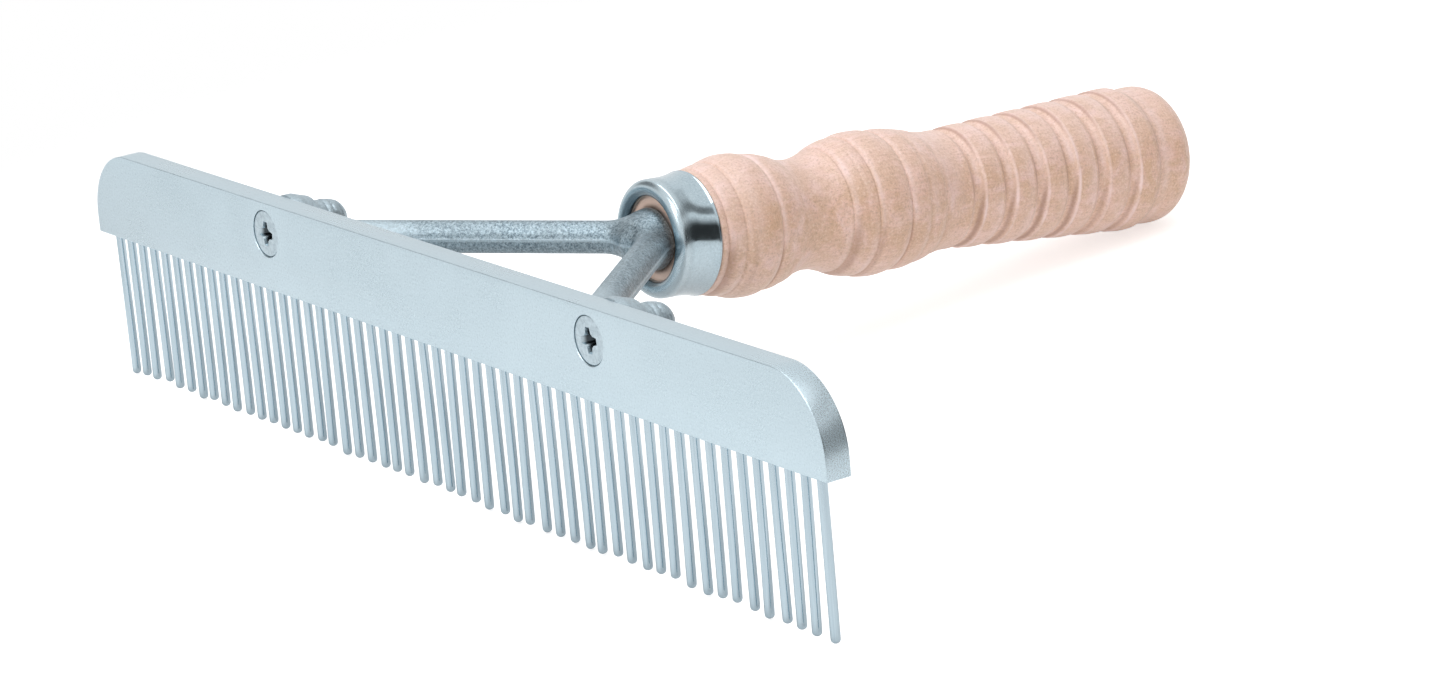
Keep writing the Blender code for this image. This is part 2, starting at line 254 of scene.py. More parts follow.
def finish_piece(obj, material, nodes):
    obj.data.materials.clear()
    obj.data.materials.append(material)
    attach(obj, "root")
    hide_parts(*nodes)
    return obj


# ---------------------------------------------------------------- bar


def bar_outline(steps=40):
    half = BAR_LENGTH / 2
    cx, cz = half - BAR_CORNER, BAR_HEIGHT - BAR_CORNER
    right = [
        (cx + BAR_CORNER * math.cos(math.pi / 2 * i / steps), cz + BAR_CORNER * math.sin(math.pi / 2 * i / steps))
        for i in range(steps + 1)
    ]
    left = [(-x, z) for x, z in reversed(right)]
    return [(-half, 0.0), (half, 0.0)] + right + left


def tooth_placements():
    rng = random.Random(53)
    places = []
    for index in range(TOOTH_COUNT):
        x = (index - (TOOTH_COUNT - 1) / 2) * TOOTH_PITCH
        sway = max(-1.2, min(1.2, rng.gauss(0, TOOTH_SWAY_DEG)))
        lean = max(-0.5, min(0.5, rng.gauss(0, TOOTH_LEAN_DEG)))
        shift = max(-0.4, min(0.4, rng.gauss(0, TOOTH_LENGTH_SPREAD)))
        places.append((x, math.radians(sway), math.radians(lean), shift))
    return places


def tooth_matrix(place):
    x, sway, lean, shift = place
    return (
        Matrix.Translation(Vector((x, TOOTH_SETBACK, 0)))
        @ Matrix.Rotation(sway, 4, "Y")
        @ Matrix.Rotation(lean, 4, "X")
        @ Matrix.Rotation(-math.pi / 2, 4, "X")
        @ Matrix.Translation(Vector((0, -shift, 0)))
    )


def screw_matrix(side, turn_deg):
    return Matrix.Translation(Vector((side * SCREW_SPACING / 2, 0, SCREW_HEIGHT))) @ Matrix.Rotation(
        math.radians(turn_deg), 4, "Y"
    )


def moved(points, matrix):
    m = np.array(matrix, float)
    return np.asarray(points, float) @ m[:3, :3].T + m[:3, 3]


def make_bar(material):
    outline = bar_outline()
    count = len(outline)
    points = [(x, 0.0, z) for x, z in outline] + [(x, BAR_THICKNESS, z) for x, z in outline]
    faces = [tuple(range(count)), tuple(range(count, 2 * count))]
    faces += [(i, (i + 1) % count, count + (i + 1) % count, count + i) for i in range(count)]
    bar = helper("comb_bar_plate", points, faces)
    bevel = bar.modifiers.new("edge", "BEVEL")
    bevel.width = 0.17
    bevel.segments = 3
    bevel.limit_method = "ANGLE"
    bevel.angle_limit = math.radians(40)
    hole = [
        (-TOOTH_ROOT - 0.3, 0),
        (-TOOTH_ROOT - 0.3, TOOTH_RADIUS + 0.12),
        (-0.28, TOOTH_RADIUS + 0.12),
        (-0.05, TOOTH_RADIUS + 0.26),
        (1.5, TOOTH_RADIUS + 0.26),
        (1.5, 0),
    ]
    hole_points, hole_faces = turned(hole, 20)
    all_points, all_faces = [], []
    for place in tooth_placements():
        base = len(all_points)
        all_points += moved(hole_points, tooth_matrix(place)).tolist()
        all_faces += [tuple(base + i for i in f) for f in hole_faces]
    cutters = [helper("cut_holes", all_points, all_faces)]
    head = SCREW_HEAD_RADIUS + 0.13
    shank = SCREW_SHANK_RADIUS + 0.28
    land = SCREW_SINK + 0.35
    sink = [
        (-1, 0),
        (-1, head + 0.11),
        (0.0, head + 0.11),
        (0.11, head),
        (land, head),
        (land + (head - shank) / math.tan(CONE_HALF_ANGLE), shank),
        (8.0, shank),
        (8.0, 0),
    ]
    sink_points, sink_faces = turned(sink, 96)
    for side, name in ((-1, "left"), (1, "right")):
        placed = moved(sink_points, screw_matrix(side, SCREW_TURNS[name]))
        cutters.append(helper("cut_sink_" + name, placed.tolist(), sink_faces))
    cut(bar, cutters)
    mesh = evaluated_mesh(bar)
    drop([bar] + cutters)
    mesh.name = "bar_plate"
    add_local(mesh)
    mesh.transform(BAR_TO_ROW)
    mesh.shade_smooth()
    mesh.set_sharp_from_angle(angle=math.radians(28))
    made = bpy.data.objects.new("bar_plate", mesh)
    bpy.context.scene.collection.objects.link(made)
    return finish_piece(made, material, ["comb_bar"])


# ---------------------------------------------------------------- pins


def make_pins(material):
    """Each pin has its own small differences: its tip's roundness and a slight bow."""
    rng = random.Random(7)
    for index, place in enumerate(tooth_placements()):
        radius = TOOTH_RADIUS
        end = TOOTH_PROJECTION
        nose = radius * rng.uniform(0.80, 0.98)
        profile = [(-TOOTH_ROOT, 0), (-TOOTH_ROOT, radius)]
        profile += [(s, radius) for s in (-0.2, 2.0, 8.0, 14.0, 20.0, end - nose - 0.6)]
        for step in range(7):
            angle = math.pi / 2 * step / 7
            profile.append((end - nose + nose * math.sin(angle), radius * math.cos(angle) ** 0.92))
        profile.append((end, 0))
        points, faces = turned(profile, 28)
        bow = rng.gauss(0, 0.05)
        t = np.clip(points[:, 1] / end, 0, 1)
        points[:, 0] += bow * 4 * t * (1 - t)
        local = points.copy()
        local[:, 0] += index * 7.3
        made = new_object(
            f"pin_{index + 1:02d}", points, faces, BAR_TO_ROW @ tooth_matrix(place), 50, local
        )
        finish_piece(made, material, [f"tooth_{index + 1:02d}"])


# ---------------------------------------------------------------- screws


def make_screws(material):
    head = SCREW_HEAD_RADIUS
    shank = SCREW_SHANK_RADIUS
    land = SCREW_SINK + 0.22
    neck = land + (head - shank) / math.tan(CONE_HALF_ANGLE)
    profile = [(SCREW_SINK - 0.03, 0), (SCREW_SINK - 0.02, 1.6), (SCREW_SINK, 2.8), (SCREW_SINK + 0.02, head - 0.30)]
    profile += [(SCREW_SINK + 0.045, head - 0.14), (SCREW_SINK + 0.11, head - 0.03), (SCREW_SINK + 0.2, head)]
    profile += [(land, head), (neck, shank), (neck + 0.8, shank)]
    pitch = 0.79
    s = neck + 1.0
    while s < SCREW_LENGTH - 1.2:
        profile += [(s, shank), (s + pitch * 0.42, shank - 0.38), (s + pitch * 0.58, shank - 0.38)]
        s += pitch
    profile += [(SCREW_LENGTH - 0.6, shank), (SCREW_LENGTH, shank - 0.55), (SCREW_LENGTH, 0)]
    points, faces = turned(profile, 72)

    def cross(span, wing, y, bulge):
        a, b, c = span / 2, wing / 2, bulge
        outline = [(a, b), (c, c), (b, a), (-b, a), (-c, c), (-a, b), (-a, -b), (-c, -c), (-b, -a), (b, -a), (c, -c), (a, -b)]
        return [(x, y, z) for x, z in outline]

    driver_points = cross(5.0, 1.22, -0.4, 0.92) + cross(1.9, 0.72, 2.35, 0.48)
    driver_faces = [tuple(range(12)), tuple(range(12, 24))]
    driver_faces += [(i, (i + 1) % 12, 12 + (i + 1) % 12, 12 + i) for i in range(12)]
    bowl_points, bowl_faces = turned([(-0.5, 0), (-0.5, 1.62), (1.9, 0.75), (2.3, 0)], 24)
    for side, name in ((-1, "left"), (1, "right")):
        matrix = screw_matrix(side, SCREW_TURNS[name])
        screw = helper("screw_blank", points.tolist(), faces)
        driver = helper("driver", driver_points, driver_faces)
        bowl = helper("driver_bowl", bowl_points.tolist(), bowl_faces)
        cut(screw, [driver, bowl])
        mesh = evaluated_mesh(screw)
        drop([screw, driver, bowl])
        mesh.name = "fastener_" + name
        add_local(mesh)
        mesh.transform(BAR_TO_ROW @ matrix)
        mesh.shade_smooth()
        mesh.set_sharp_from_angle(angle=math.radians(30))
        made = bpy.data.objects.new("fastener_" + name, mesh)
        bpy.context.scene.collection.objects.link(made)
        finish_piece(made, material, ["screw_" + name])


# ---------------------------------------------------------------- fork, as one blended casting


def polygon_distance(x, y, corners):
    """Signed distance to a polygon in the plane, negative inside."""
    best = np.full(x.shape, 1e9, np.float32)
    inside = np.zeros(x.shape, bool)
    for (ax, ay), (bx, by) in zip(corners, corners[1:] + corners[:1]):
        ex, ey = bx - ax, by - ay
        wx, wy = x - ax, y - ay
        t = np.clip((wx * ex + wy * ey) / (ex * ex + ey * ey + 1e-12), 0, 1)
        best = np.minimum(best, (wx - ex * t) ** 2 + (wy - ey * t) ** 2)
        if ay != by:
            crosses = ((ay > y) != (by > y)) & (x < (bx - ax) * (y - ay) / (by - ay) + ax)
            inside ^= crosses
    return np.where(inside, -1, 1) * np.sqrt(best)


def blend_min(a, b, k):
    h = np.clip(0.5 + 0.5 * (b - a) / k, 0, 1)
    return b + (a - b) * h - k * h * (1 - h)


def blend_max(a, b, k):
    return -blend_min(-a, -b, k)


ROOT = np.array(ARM_ROOT)
CORNER = np.array(FOOT_CORNER)
ARM_DIRECTION = (CORNER - ROOT) / np.linalg.norm(CORNER - ROOT)
PLANE_NORMAL = np.cross(ARM_DIRECTION, ARM_DIRECTION * np.array([-1, 1, 1]))
PLANE_NORMAL = PLANE_NORMAL / np.linalg.norm(PLANE_NORMAL)
COS_T, SIN_T = math.cos(HANDLE_TILT), math.sin(HANDLE_TILT)

HUB = [(40.6, 0.0), (41.6, 1.7), (43.2, 3.1), (45.0, 4.1), (46.4, 4.85), (50.0, 5.45), (50.0, 0.0)]
TANG = [(44.0, 0.0), (44.0, 3.4), (47.0, TANG_RADIUS), (TANG_END - 1.0, TANG_RADIUS), (TANG_END, 3.2), (TANG_END, 0.0)]
FOOT = [
    (FOOT_FACE, 0.0),
    (FOOT_FACE, 5.9),
    (6.45, 5.9),
    (7.5, 5.5),
    (9.3, 4.9),
    (9.75, 4.35),
    (10.1, 3.85),
    (10.55, 3.72),
    (11.3, 3.72),
    (11.55, 3.42),
    (11.8, 3.72),
    (12.6, 3.62),
    (12.85, 3.3),
    (13.1, 3.5),
    (14.0, 3.28),
    (14.2, 2.95),
    (14.45, 3.1),
    (15.25, 2.45),
    (15.85, 1.6),
    (16.2, 0.7),
    (16.28, 0.0),
]


def fork_distance(x, y, z):
    """Signed distance to the fork, in bar-frame millimetres. It is mirrored about x = 0."""
    x = np.abs(x)
    px, py, pz = x - ROOT[0], y - ROOT[1], z - ROOT[2]
    length = np.linalg.norm(CORNER - ROOT)
    dx, dy, dz = ARM_DIRECTION
    t = np.clip(px * dx + py * dy + pz * dz, 0, length)
    off = px * PLANE_NORMAL[0] + py * PLANE_NORMAL[1] + pz * PLANE_NORMAL[2]
    seam = 0.20 * np.exp(-((off / 0.26) ** 2))
    reach = np.sqrt((px - dx * t) ** 2 + (py - dy * t) ** 2 + (pz - dz * t) ** 2)
    arm = reach - ARM_RADIUS - seam
    # the other arm, seen from this side, so that the crotch is blended on both
    t2 = np.clip(-px * dx + py * dy + pz * dz, 0, length)
    other = np.sqrt((px + dx * t2) ** 2 + (py - dy * t2) ** 2 + (pz - dz * t2) ** 2) - ARM_RADIUS - seam
    # along the back of the bar
    ex, ey, ez = SCREW_SPACING / 2 - CORNER[0], 0.0, SCREW_HEIGHT - CORNER[2]
    el = math.hypot(ex, ez)
    ex, ez = ex / el, ez / el
    qx, qy, qz = x - CORNER[0], y - CORNER[1], z - CORNER[2]
    t3 = np.clip(qx * ex + qz * ez, 0, el)
    heel = np.sqrt((qx - ex * t3) ** 2 + qy**2 + (qz - ez * t3) ** 2) - ARM_RADIUS
    station = y * COS_T - (z - HANDLE_RISE) * SIN_T
    up = y * SIN_T + (z - HANDLE_RISE) * COS_T
    radial = np.sqrt(x**2 + up**2)
    hub = polygon_distance(station, radial, HUB)
    body = blend_min(arm, other, 3.0)
    body = blend_min(body, hub, 4.4)
    body = blend_max(body, station - HUB_END, 0.35)
    tang = polygon_distance(station, radial, TANG)
    body = np.minimum(body, tang)
    around = np.sqrt((x - SCREW_SPACING / 2) ** 2 + (z - SCREW_HEIGHT) ** 2)
    foot = polygon_distance(y, around, FOOT)
    body = blend_min(body, heel, 2.0)
    body = blend_min(body, foot, 1.6)
    body = blend_max(body, FOOT_FACE - y, 0.25)
    bore = np.maximum(around - (SCREW_SHANK_RADIUS + 0.28), y - SCREW_LENGTH - 0.4)
    return np.maximum(body, -bore)


def surface_nets(field, origin, step):
    """Quads of the zero surface of a field on a grid, one point in each cell that it crosses."""
    inside = field < 0
    corners = [(i, j, k) for i in (0, 1) for j in (0, 1) for k in (0, 1)]
    nx, ny, nz = field.shape

    def corner(array, c):
        return array[c[0] : nx - 1 + c[0], c[1] : ny - 1 + c[1], c[2] : nz - 1 + c[2]]

    total = sum(corner(inside, c).astype(np.int8) for c in corners)
    cells = np.argwhere((total > 0) & (total < 8))
    index = -np.ones((nx - 1, ny - 1, nz - 1), np.int64)
    index[cells[:, 0], cells[:, 1], cells[:, 2]] = np.arange(len(cells))
    sums = np.zeros((len(cells), 3))
    counts = np.zeros(len(cells))
    values = {c: field[cells[:, 0] + c[0], cells[:, 1] + c[1], cells[:, 2] + c[2]] for c in corners}
    for c in corners:
        for axis in range(3):
            if c[axis] == 1:
                continue
            d = list(c)
            d[axis] = 1
            a, b = values[c], values[tuple(d)]
            crosses = (a < 0) != (b < 0)
            t = np.where(crosses, a / np.where(crosses, a - b, 1), 0)
            point = np.tile(np.array(c, float), (len(cells), 1))
            point[:, axis] += t
            sums += point * crosses[:, None]
            counts += crosses
    points = (cells + sums / counts[:, None]) * step + np.array(origin)
    quads = []
    for axis in range(3):
        u, v = [a for a in range(3) if a != axis]
        low = [slice(1, n - 1) for n in (nx, ny, nz)]
        low[axis] = slice(0, (nx, ny, nz)[axis] - 1)
        high = list(low)
        high[axis] = slice(1, (nx, ny, nz)[axis])
        a, b = inside[tuple(low)], inside[tuple(high)]
        for flip, mask in ((False, a & ~b), (True, ~a & b)):
            where = np.argwhere(mask)
            base = where + np.array([0 if k == axis else 1 for k in range(3)])
            four = []
            for du, dv in ((0, 0), (-1, 0), (-1, -1), (0, -1)):
                cell = base.copy()
                cell[:, u] += du
                cell[:, v] += dv
                four.append(index[cell[:, 0], cell[:, 1], cell[:, 2]])
            quad = np.stack(four, 1)
            wound = flip != (axis == 1)
            quads.append(quad[:, ::-1] if wound else quad)
    return points, np.vstack(quads)


def settle(points, quads, distance, step, rounds):
    """Evens the points out over the surface and draws them back on to it."""
    count = len(points)
    edges = np.vstack([quads[:, [0, 1]], quads[:, [1, 2]], quads[:, [2, 3]], quads[:, [3, 0]]])
    degree = np.bincount(edges.ravel(), minlength=count)[:, None]
    for round_index in range(rounds):
        if round_index < rounds - 1:
            total = np.zeros_like(points)
            for k in range(3):
                total[:, k] = np.bincount(edges[:, 0], points[edges[:, 1], k], count) + np.bincount(
                    edges[:, 1], points[edges[:, 0], k], count
                )
            points = points + 0.5 * (total / degree - points)
        for _ in range(2):
            value = distance(*points.T)
            h = step * 0.25
            gradient = np.stack(
                [
                    distance(*(points + np.eye(3)[k] * h).T) - distance(*(points - np.eye(3)[k] * h).T)
                    for k in range(3)
                ],
                1,
            ) / (2 * h)
            size = np.maximum((gradient**2).sum(1), 0.25)
            move = -(value / size)[:, None] * gradient
            points = points + np.clip(move, -step, step)
    return points


def make_fork(material):
    step = 0.36
    half = np.arange(0, 58.6, step)
    ys = np.arange(3.6, 81.4, step)
    zs = np.arange(0.6, 17.8, step)
    gx, gy, gz = np.meshgrid(half, ys, zs, indexing="ij")
    field = fork_distance(gx.astype(np.float32), gy.astype(np.float32), gz.astype(np.float32))
    field = np.concatenate([field[:0:-1], field])
    points, quads = surface_nets(field, (-half[-1], ys[0], zs[0]), step)
    points = settle(points, quads, fork_distance, step, 4)
    made = new_object("fork_casting", points, quads.tolist(), BAR_TO_ROW, 60)
    return finish_piece(made, material, ["fork"])


# ---------------------------------------------------------------- ferrule


def make_ferrule(material):
    """A drawn collar: its front edge is rolled in to a rounded lip, its back edge flares."""
    outer = [(FERRULE_BACK, 10.95), (FERRULE_BACK - 0.04, 10.985), (FERRULE_BACK - 0.12, 10.99)]
    for i in range(15):
        s = 54.1 - (54.1 - 48.5) * i / 14
        t = np.clip((s - 50.2) / (54.3 - 50.2), 0, 1)
        outer.append((s, 10.42 + 0.53 * t**1.7))
    lip = []
    mouth = 7.3
    centre, half, depth = (10.42 + mouth) / 2, (10.42 - mouth) / 2, 47.75 - 46.3
    for i in range(1, 24):
        angle = math.pi * i / 24
        c, s = math.cos(angle), math.sin(angle)
        bulge = 0.93
        lip.append(
            (
                47.75 - depth * abs(s) ** bulge,
                centre + half * math.copysign(abs(c) ** bulge, c),
            )
        )
    inner = [(47.75, mouth + 0.02), (47.85, mouth + 0.15), (47.85, 9.0), (48.1, 9.7), (48.6, 9.88), (51.4, 9.95), (54.1, 10.42), (FERRULE_BACK - 0.04, 10.62)]
    profile = outer + lip + inner
    station = np.array([p[0] for p in profile])
    radius = np.array([p[1] for p in profile])
    segments = 160
    angle = 2 * np.pi * np.arange(segments) / segments
    x = radius[:, None] * np.cos(angle)
    z = radius[:, None] * np.sin(angle)
    y = station[:, None] + 0 * angle
    points = np.stack([x, y, z], -1).reshape(-1, 3)
    faces = ring_faces(len(profile), segments, closed=True)
    made = new_object("collar_polished", points, faces, HANDLE_TO_ROW, 40, points)
    return finish_piece(made, material, ["ferrule"])


# ---------------------------------------------------------------- handle

BEADS = (
    (54.65, 55.9, 10.95, 11.15, 0.06),
    (55.9, 59.3, 11.05, 11.75, 0.12),
    (59.3, 66.7, 11.80, 12.20, 0.60),
    (66.7, 72.8, 12.15, 10.60, 0.38),
    (72.8, 82.1, 10.60, 11.00, -0.98),
    (82.1, 86.9, 11.05, 12.40, 0.20),
    (86.9, 94.2, 12.40, 12.60, 0.42),
    (94.2, 98.3, 12.50, 12.45, 0.12),
    (98.3, 102.4, 12.40, 11.60, 0.05),
    (102.4, 108.85, 11.55, 10.72, -0.32),
)
# station, depth and half-width of the cut lines between the beads, and how far the surface takes
# to rise behind each
CREASES = (
    (55.9, 0.22, 0.24, 0.9),
    (59.3, 0.17, 0.24, 0.8),
    (66.7, 0.32, 0.26, 0.9),
    (69.9, 0.10, 0.60, 1.3),
    (72.6, 0.07, 0.40, 0.8),
    (82.5, 0.32, 0.26, 0.8),
    (85.1, 0.06, 0.40, 0.7),
    (87.35, 0.28, 0.24, 0.7),
    (94.3, 0.30, 0.28, 0.8),
    (98.7, 0.17, 0.60, 1.5),
    (102.7, 0.17, 0.60, 1.6),
)


def base_radius(station):
    """The turned outline without its six grooves."""
    radius = np.full(station.shape, np.nan)
    for start, end, first, last, crown in BEADS:
        here = (station >= start - 1e-9) & (station < end)
        t = (station - start) / (end - start)
        radius = np.where(here, first + (last - first) * t + crown * 4 * t * (1 - t), radius)
    grip = 10.87 + (station - 112.0) * 0.0595 + 0.04
    radius = np.where((station >= 108.85) & (station < BUTT_COVE[0]), grip, radius)
    t = (station - BUTT_COVE[0]) / (BUTT_COVE[1] - BUTT_COVE[0])
    cove = 13.0 - 0.5 * t - 0.16 * 4 * t * (1 - t)
    radius = np.where((station >= BUTT_COVE[0]) & (station < BUTT_COVE[1]), cove, radius)
    bead = 12.5 + (BUTT_RADIUS - 12.5) * (station - BUTT_COVE[1]) / (DOME_START - BUTT_COVE[1])
    radius = np.where((station >= BUTT_COVE[1]) & (station < DOME_START), bead, radius)
    t = np.clip((station - DOME_START) / DOME_LENGTH, 0, 1)
    dome = BUTT_RADIUS * (1 - t**2.2) ** 0.60
    radius = np.where(station >= DOME_START, dome, radius)
    radius = np.where(np.isnan(radius), 10.95, radius)
    return radius


def groove_cut(station, angle):
    """Depth of the six grooves: a steep front side, a rounded floor and a slope up to a crisp
    rear edge. Their depth and edges wander a little round the handle."""
    depth = np.zeros(np.broadcast(station, angle).shape)
    for k in range(GROOVE_COUNT):
        wander = 0.07 * np.sin(angle * 2 + 1.7 * k) + 0.05 * np.sin(angle * 5 + 2.9 * k)
        start = GROOVE_FIRST + GROOVE_PITCH * k - GROOVE_WIDTH / 2 + wander
        width = GROOVE_WIDTH + 0.10 * np.sin(angle * 3 + 0.8 * k)
        t = (station - start) / width
        deep = GROOVE_DEPTH * (1.1 + 0.16 * np.sin(angle + 2.1 * k) + 0.08 * np.sin(angle * 4 + k))
        front = smooth_step(0.0, 0.38, t)
        rear = 1 - np.clip((t - 0.34) / 0.66, 0, 1) ** 2.2
        here = (t > 0) & (t < 1)
        depth = np.where(here, deep * front * rear, depth)
        burr = 0.05 * np.exp(-(((t - 1.02) * GROOVE_WIDTH / 0.24) ** 2))
        depth = depth - burr
    return depth


def land_crown(station):
    """A slight crown on each land between the grooves."""
    land = GROOVE_PITCH - GROOVE_WIDTH
    first = GROOVE_FIRST + GROOVE_WIDTH / 2
    u = ((station - first) % GROOVE_PITCH) / land
    here = (station > first) & (station < BUTT_COVE[0]) & (u < 1)
    return np.where(here, 0.10 * 4 * u * (1 - u), 0)


def make_handle(material):
    fine = list(np.arange(54.65, 108.4, 0.34))
    fine += list(np.arange(108.4, 150.0, 0.19))
    fine += list(np.arange(150.0, DOME_START + 3.0, 0.30))
    fine += [DOME_START + DOME_LENGTH * (1 - (1 - u) ** 2.3) for u in np.linspace(0.25, 0.99, 22)]
    for station, _depth, width, _rise in CREASES:
        fine = [s for s in fine if abs(s - station) > width * 1.6]
        fine += [station + width * f for f in (-1.5, -0.9, -0.45, 0.0, 0.45, 0.9, 1.5)]
    fine = np.array(sorted(fine))
    segments = 168
    angle = (2 * np.pi * np.arange(segments) / segments)[None, :]
    station = fine[:, None]
    radius = base_radius(fine)
    # soften the corners where one turned form meets the next
    radius = radius[:, None] + 0 * angle
    for index, (at, depth, width, rise) in enumerate(CREASES):
        line = 0.35 * np.exp(-np.abs((station - at) / (width * 0.8)) ** 1.6)
        shoulder = 0.75 * np.exp(-np.abs(station - at) / np.where(station > at, rise, 0.75))
        radius = radius - depth * (line + shoulder) * (1 + 0.25 * np.sin(angle + index))
    radius = radius - groove_cut(station, angle) + land_crown(station)
    radius = radius - 0.24 * np.exp(-np.abs(station - 150.6) / 0.8)
    radius = radius + 0.08 * np.exp(-(((station - 153.8) / 1.2) ** 2))
    inside = station < DOME_START + 2
    drift = 0.020 * np.sin(2 * angle + 0.05 * station) + 0.012 * np.sin(station * 1.9 + np.sin(angle) * 2)
    radius = radius + drift * inside
    face = NECK_FACE + 0.12
    neck = [(face, 4.5), (face, 8.9), (face + 0.3, 9.2), (54.35, 9.2), (54.5, 10.7)]
    lead = np.array([r for _s, r in neck])[:, None] + 0 * angle
    stations = np.concatenate([[s for s, _r in neck], fine])
    radii = np.vstack([lead, radius])
    bore = [(81.0, 4.5), (face + 0.4, 4.5)]
    stations = np.concatenate([[s for s, _r in bore], stations])
    radii = np.vstack([np.array([r for _s, r in bore])[:, None] + 0 * angle, radii])
    x = radii * np.cos(angle)
    z = radii * np.sin(angle)
    y = stations[:, None] + 0 * angle
    points = np.stack([x, y, z], -1).reshape(-1, 3)
    points = np.vstack([[[0, 81.0, 0]], points, [[0, DOME_START + DOME_LENGTH, 0]]])
    rings = len(stations)
    faces = ring_faces(rings, segments, True, True)
    # how far a point lies in a groove or a crease, for the painted shade there; with painted highlights on their
    # edges, both changing round the handle as the light falls
    painted_cut_shade = np.zeros((rings, segments))
    rim = np.zeros((rings, segments))
    along = stations[:, None] + 0 * angle
    up = np.sin(angle) + 0 * along
    low = np.clip((0.10 - up) / 0.40, 0, 1)
    top = np.clip((up - 0.45) / 0.45, 0, 1)
    shade = np.clip((0.35 - up) / 0.55, 0, 1)

    def line_at(at, width):
        return np.exp(-(((along - at) / width) ** 2))

    # painted shade along each crease, stronger in its lower half, and painted highlights behind it above and before it
    # below
    for at, depth, width, rise in CREASES:
        strength = min(1.0, depth * 3.4)
        line = line_at(at - 0.14 + 0.30 * low, width * 0.8)
        painted_cut_shade = np.maximum(painted_cut_shade, strength * (0.42 + 0.38 * low) * line)
        rim = np.maximum(rim, 0.62 * strength * (1 - low) * line_at(at + 0.70 * rise, 0.50 * rise))
        rim = np.maximum(rim, 0.50 * strength * low * line_at(at - 0.70, 0.50))
    # painted highlights on the bright shoulders and painted shade on the soft shaded feet of the beads
    for at, width, amount in ((67.1, 0.40, 1.0), (57.6, 1.9, 0.30), (61.4, 1.3, 0.26), (105.6, 2.0, 0.34), (77.2, 1.2, 0.16)):
        rim = np.maximum(rim, amount * (1 - low) * line_at(at, width))
    for at, width, amount in ((56.3, 1.3, 0.85), (60.9, 0.9, 0.45), (83.2, 1.1, 0.80), (88.0, 0.6, 0.65), (95.1, 0.9, 0.30), (97.6, 0.5, 0.30)):
        painted_cut_shade = np.maximum(painted_cut_shade, amount * shade * line_at(at, width))
    for at, width, amount in ((69.9, 0.9, 0.24), (98.6, 0.9, 0.26), (102.4, 0.8, 0.22)):
        painted_cut_shade = np.maximum(painted_cut_shade, amount * (1 - low) * line_at(at, width))
    # painted shade in the butt's cove and a painted highlight just behind it
    painted_cut_shade = np.maximum(painted_cut_shade, 0.55 * line_at(150.1, 0.45))
    rim = np.maximum(rim, 0.45 * line_at(151.7, 0.8))
    # painted shade in each groove, by the side of the handle it is on, and painted highlights on its rear rim and
    # slopes
    for k in range(GROOVE_COUNT):
        start = GROOVE_FIRST + GROOVE_PITCH * k - GROOVE_WIDTH / 2
        t = (along - start) / GROOVE_WIDTH
        mid = np.clip(1 - low - top, 0, 1)
        # how strongly each groove's lower rear side is painted dark
        groove_shade_strength = (1.30, 1.0, 1.25, 1.15, 0.70, 0.75)[k]
        painted_cut_shade = np.maximum(painted_cut_shade, 0.72 * mid * np.exp(-(((t - 0.19) / 0.12) ** 2)))
        painted_cut_shade = np.maximum(painted_cut_shade, 0.92 * groove_shade_strength * shade * np.exp(-(((t - 0.86 + 0.16 * low) / 0.20) ** 2)))
        painted_cut_shade = np.maximum(painted_cut_shade, 1.05 * top * np.exp(-(((t - 0.90) / 0.12) ** 2)))
        rim = np.maximum(rim, 0.9 * (1 - 0.6 * top) * line_at(start + GROOVE_WIDTH, 0.27))
        rim = np.maximum(rim, 0.60 * mid * (1 - shade) * np.exp(-(((t - 0.68) / 0.20) ** 2)))
        rim = np.maximum(rim, 0.40 * low * np.exp(-(((t - 0.20) / 0.16) ** 2)))
        # painted highlight: each land is palest just before the next groove
        if k < GROOVE_COUNT - 1:
            u = (along - start - GROOVE_WIDTH) / (GROOVE_PITCH - GROOVE_WIDTH)
            rim = np.maximum(rim, np.where((u > 0) & (u < 1), 0.42 * np.clip(u, 0, 1) ** 1.6, 0))
    painted_cut_shade = np.concatenate([[0], painted_cut_shade.ravel(), [0]])
    rim = np.concatenate([[0], rim.ravel(), [0]])
    made = new_object(
        "handle_turned", points, faces, HANDLE_TO_ROW, 180, points, {"painted_cut_shade": painted_cut_shade, "rim": rim}
    )
    return finish_piece(made, material, ["handle"])


# ---------------------------------------------------------------- materials


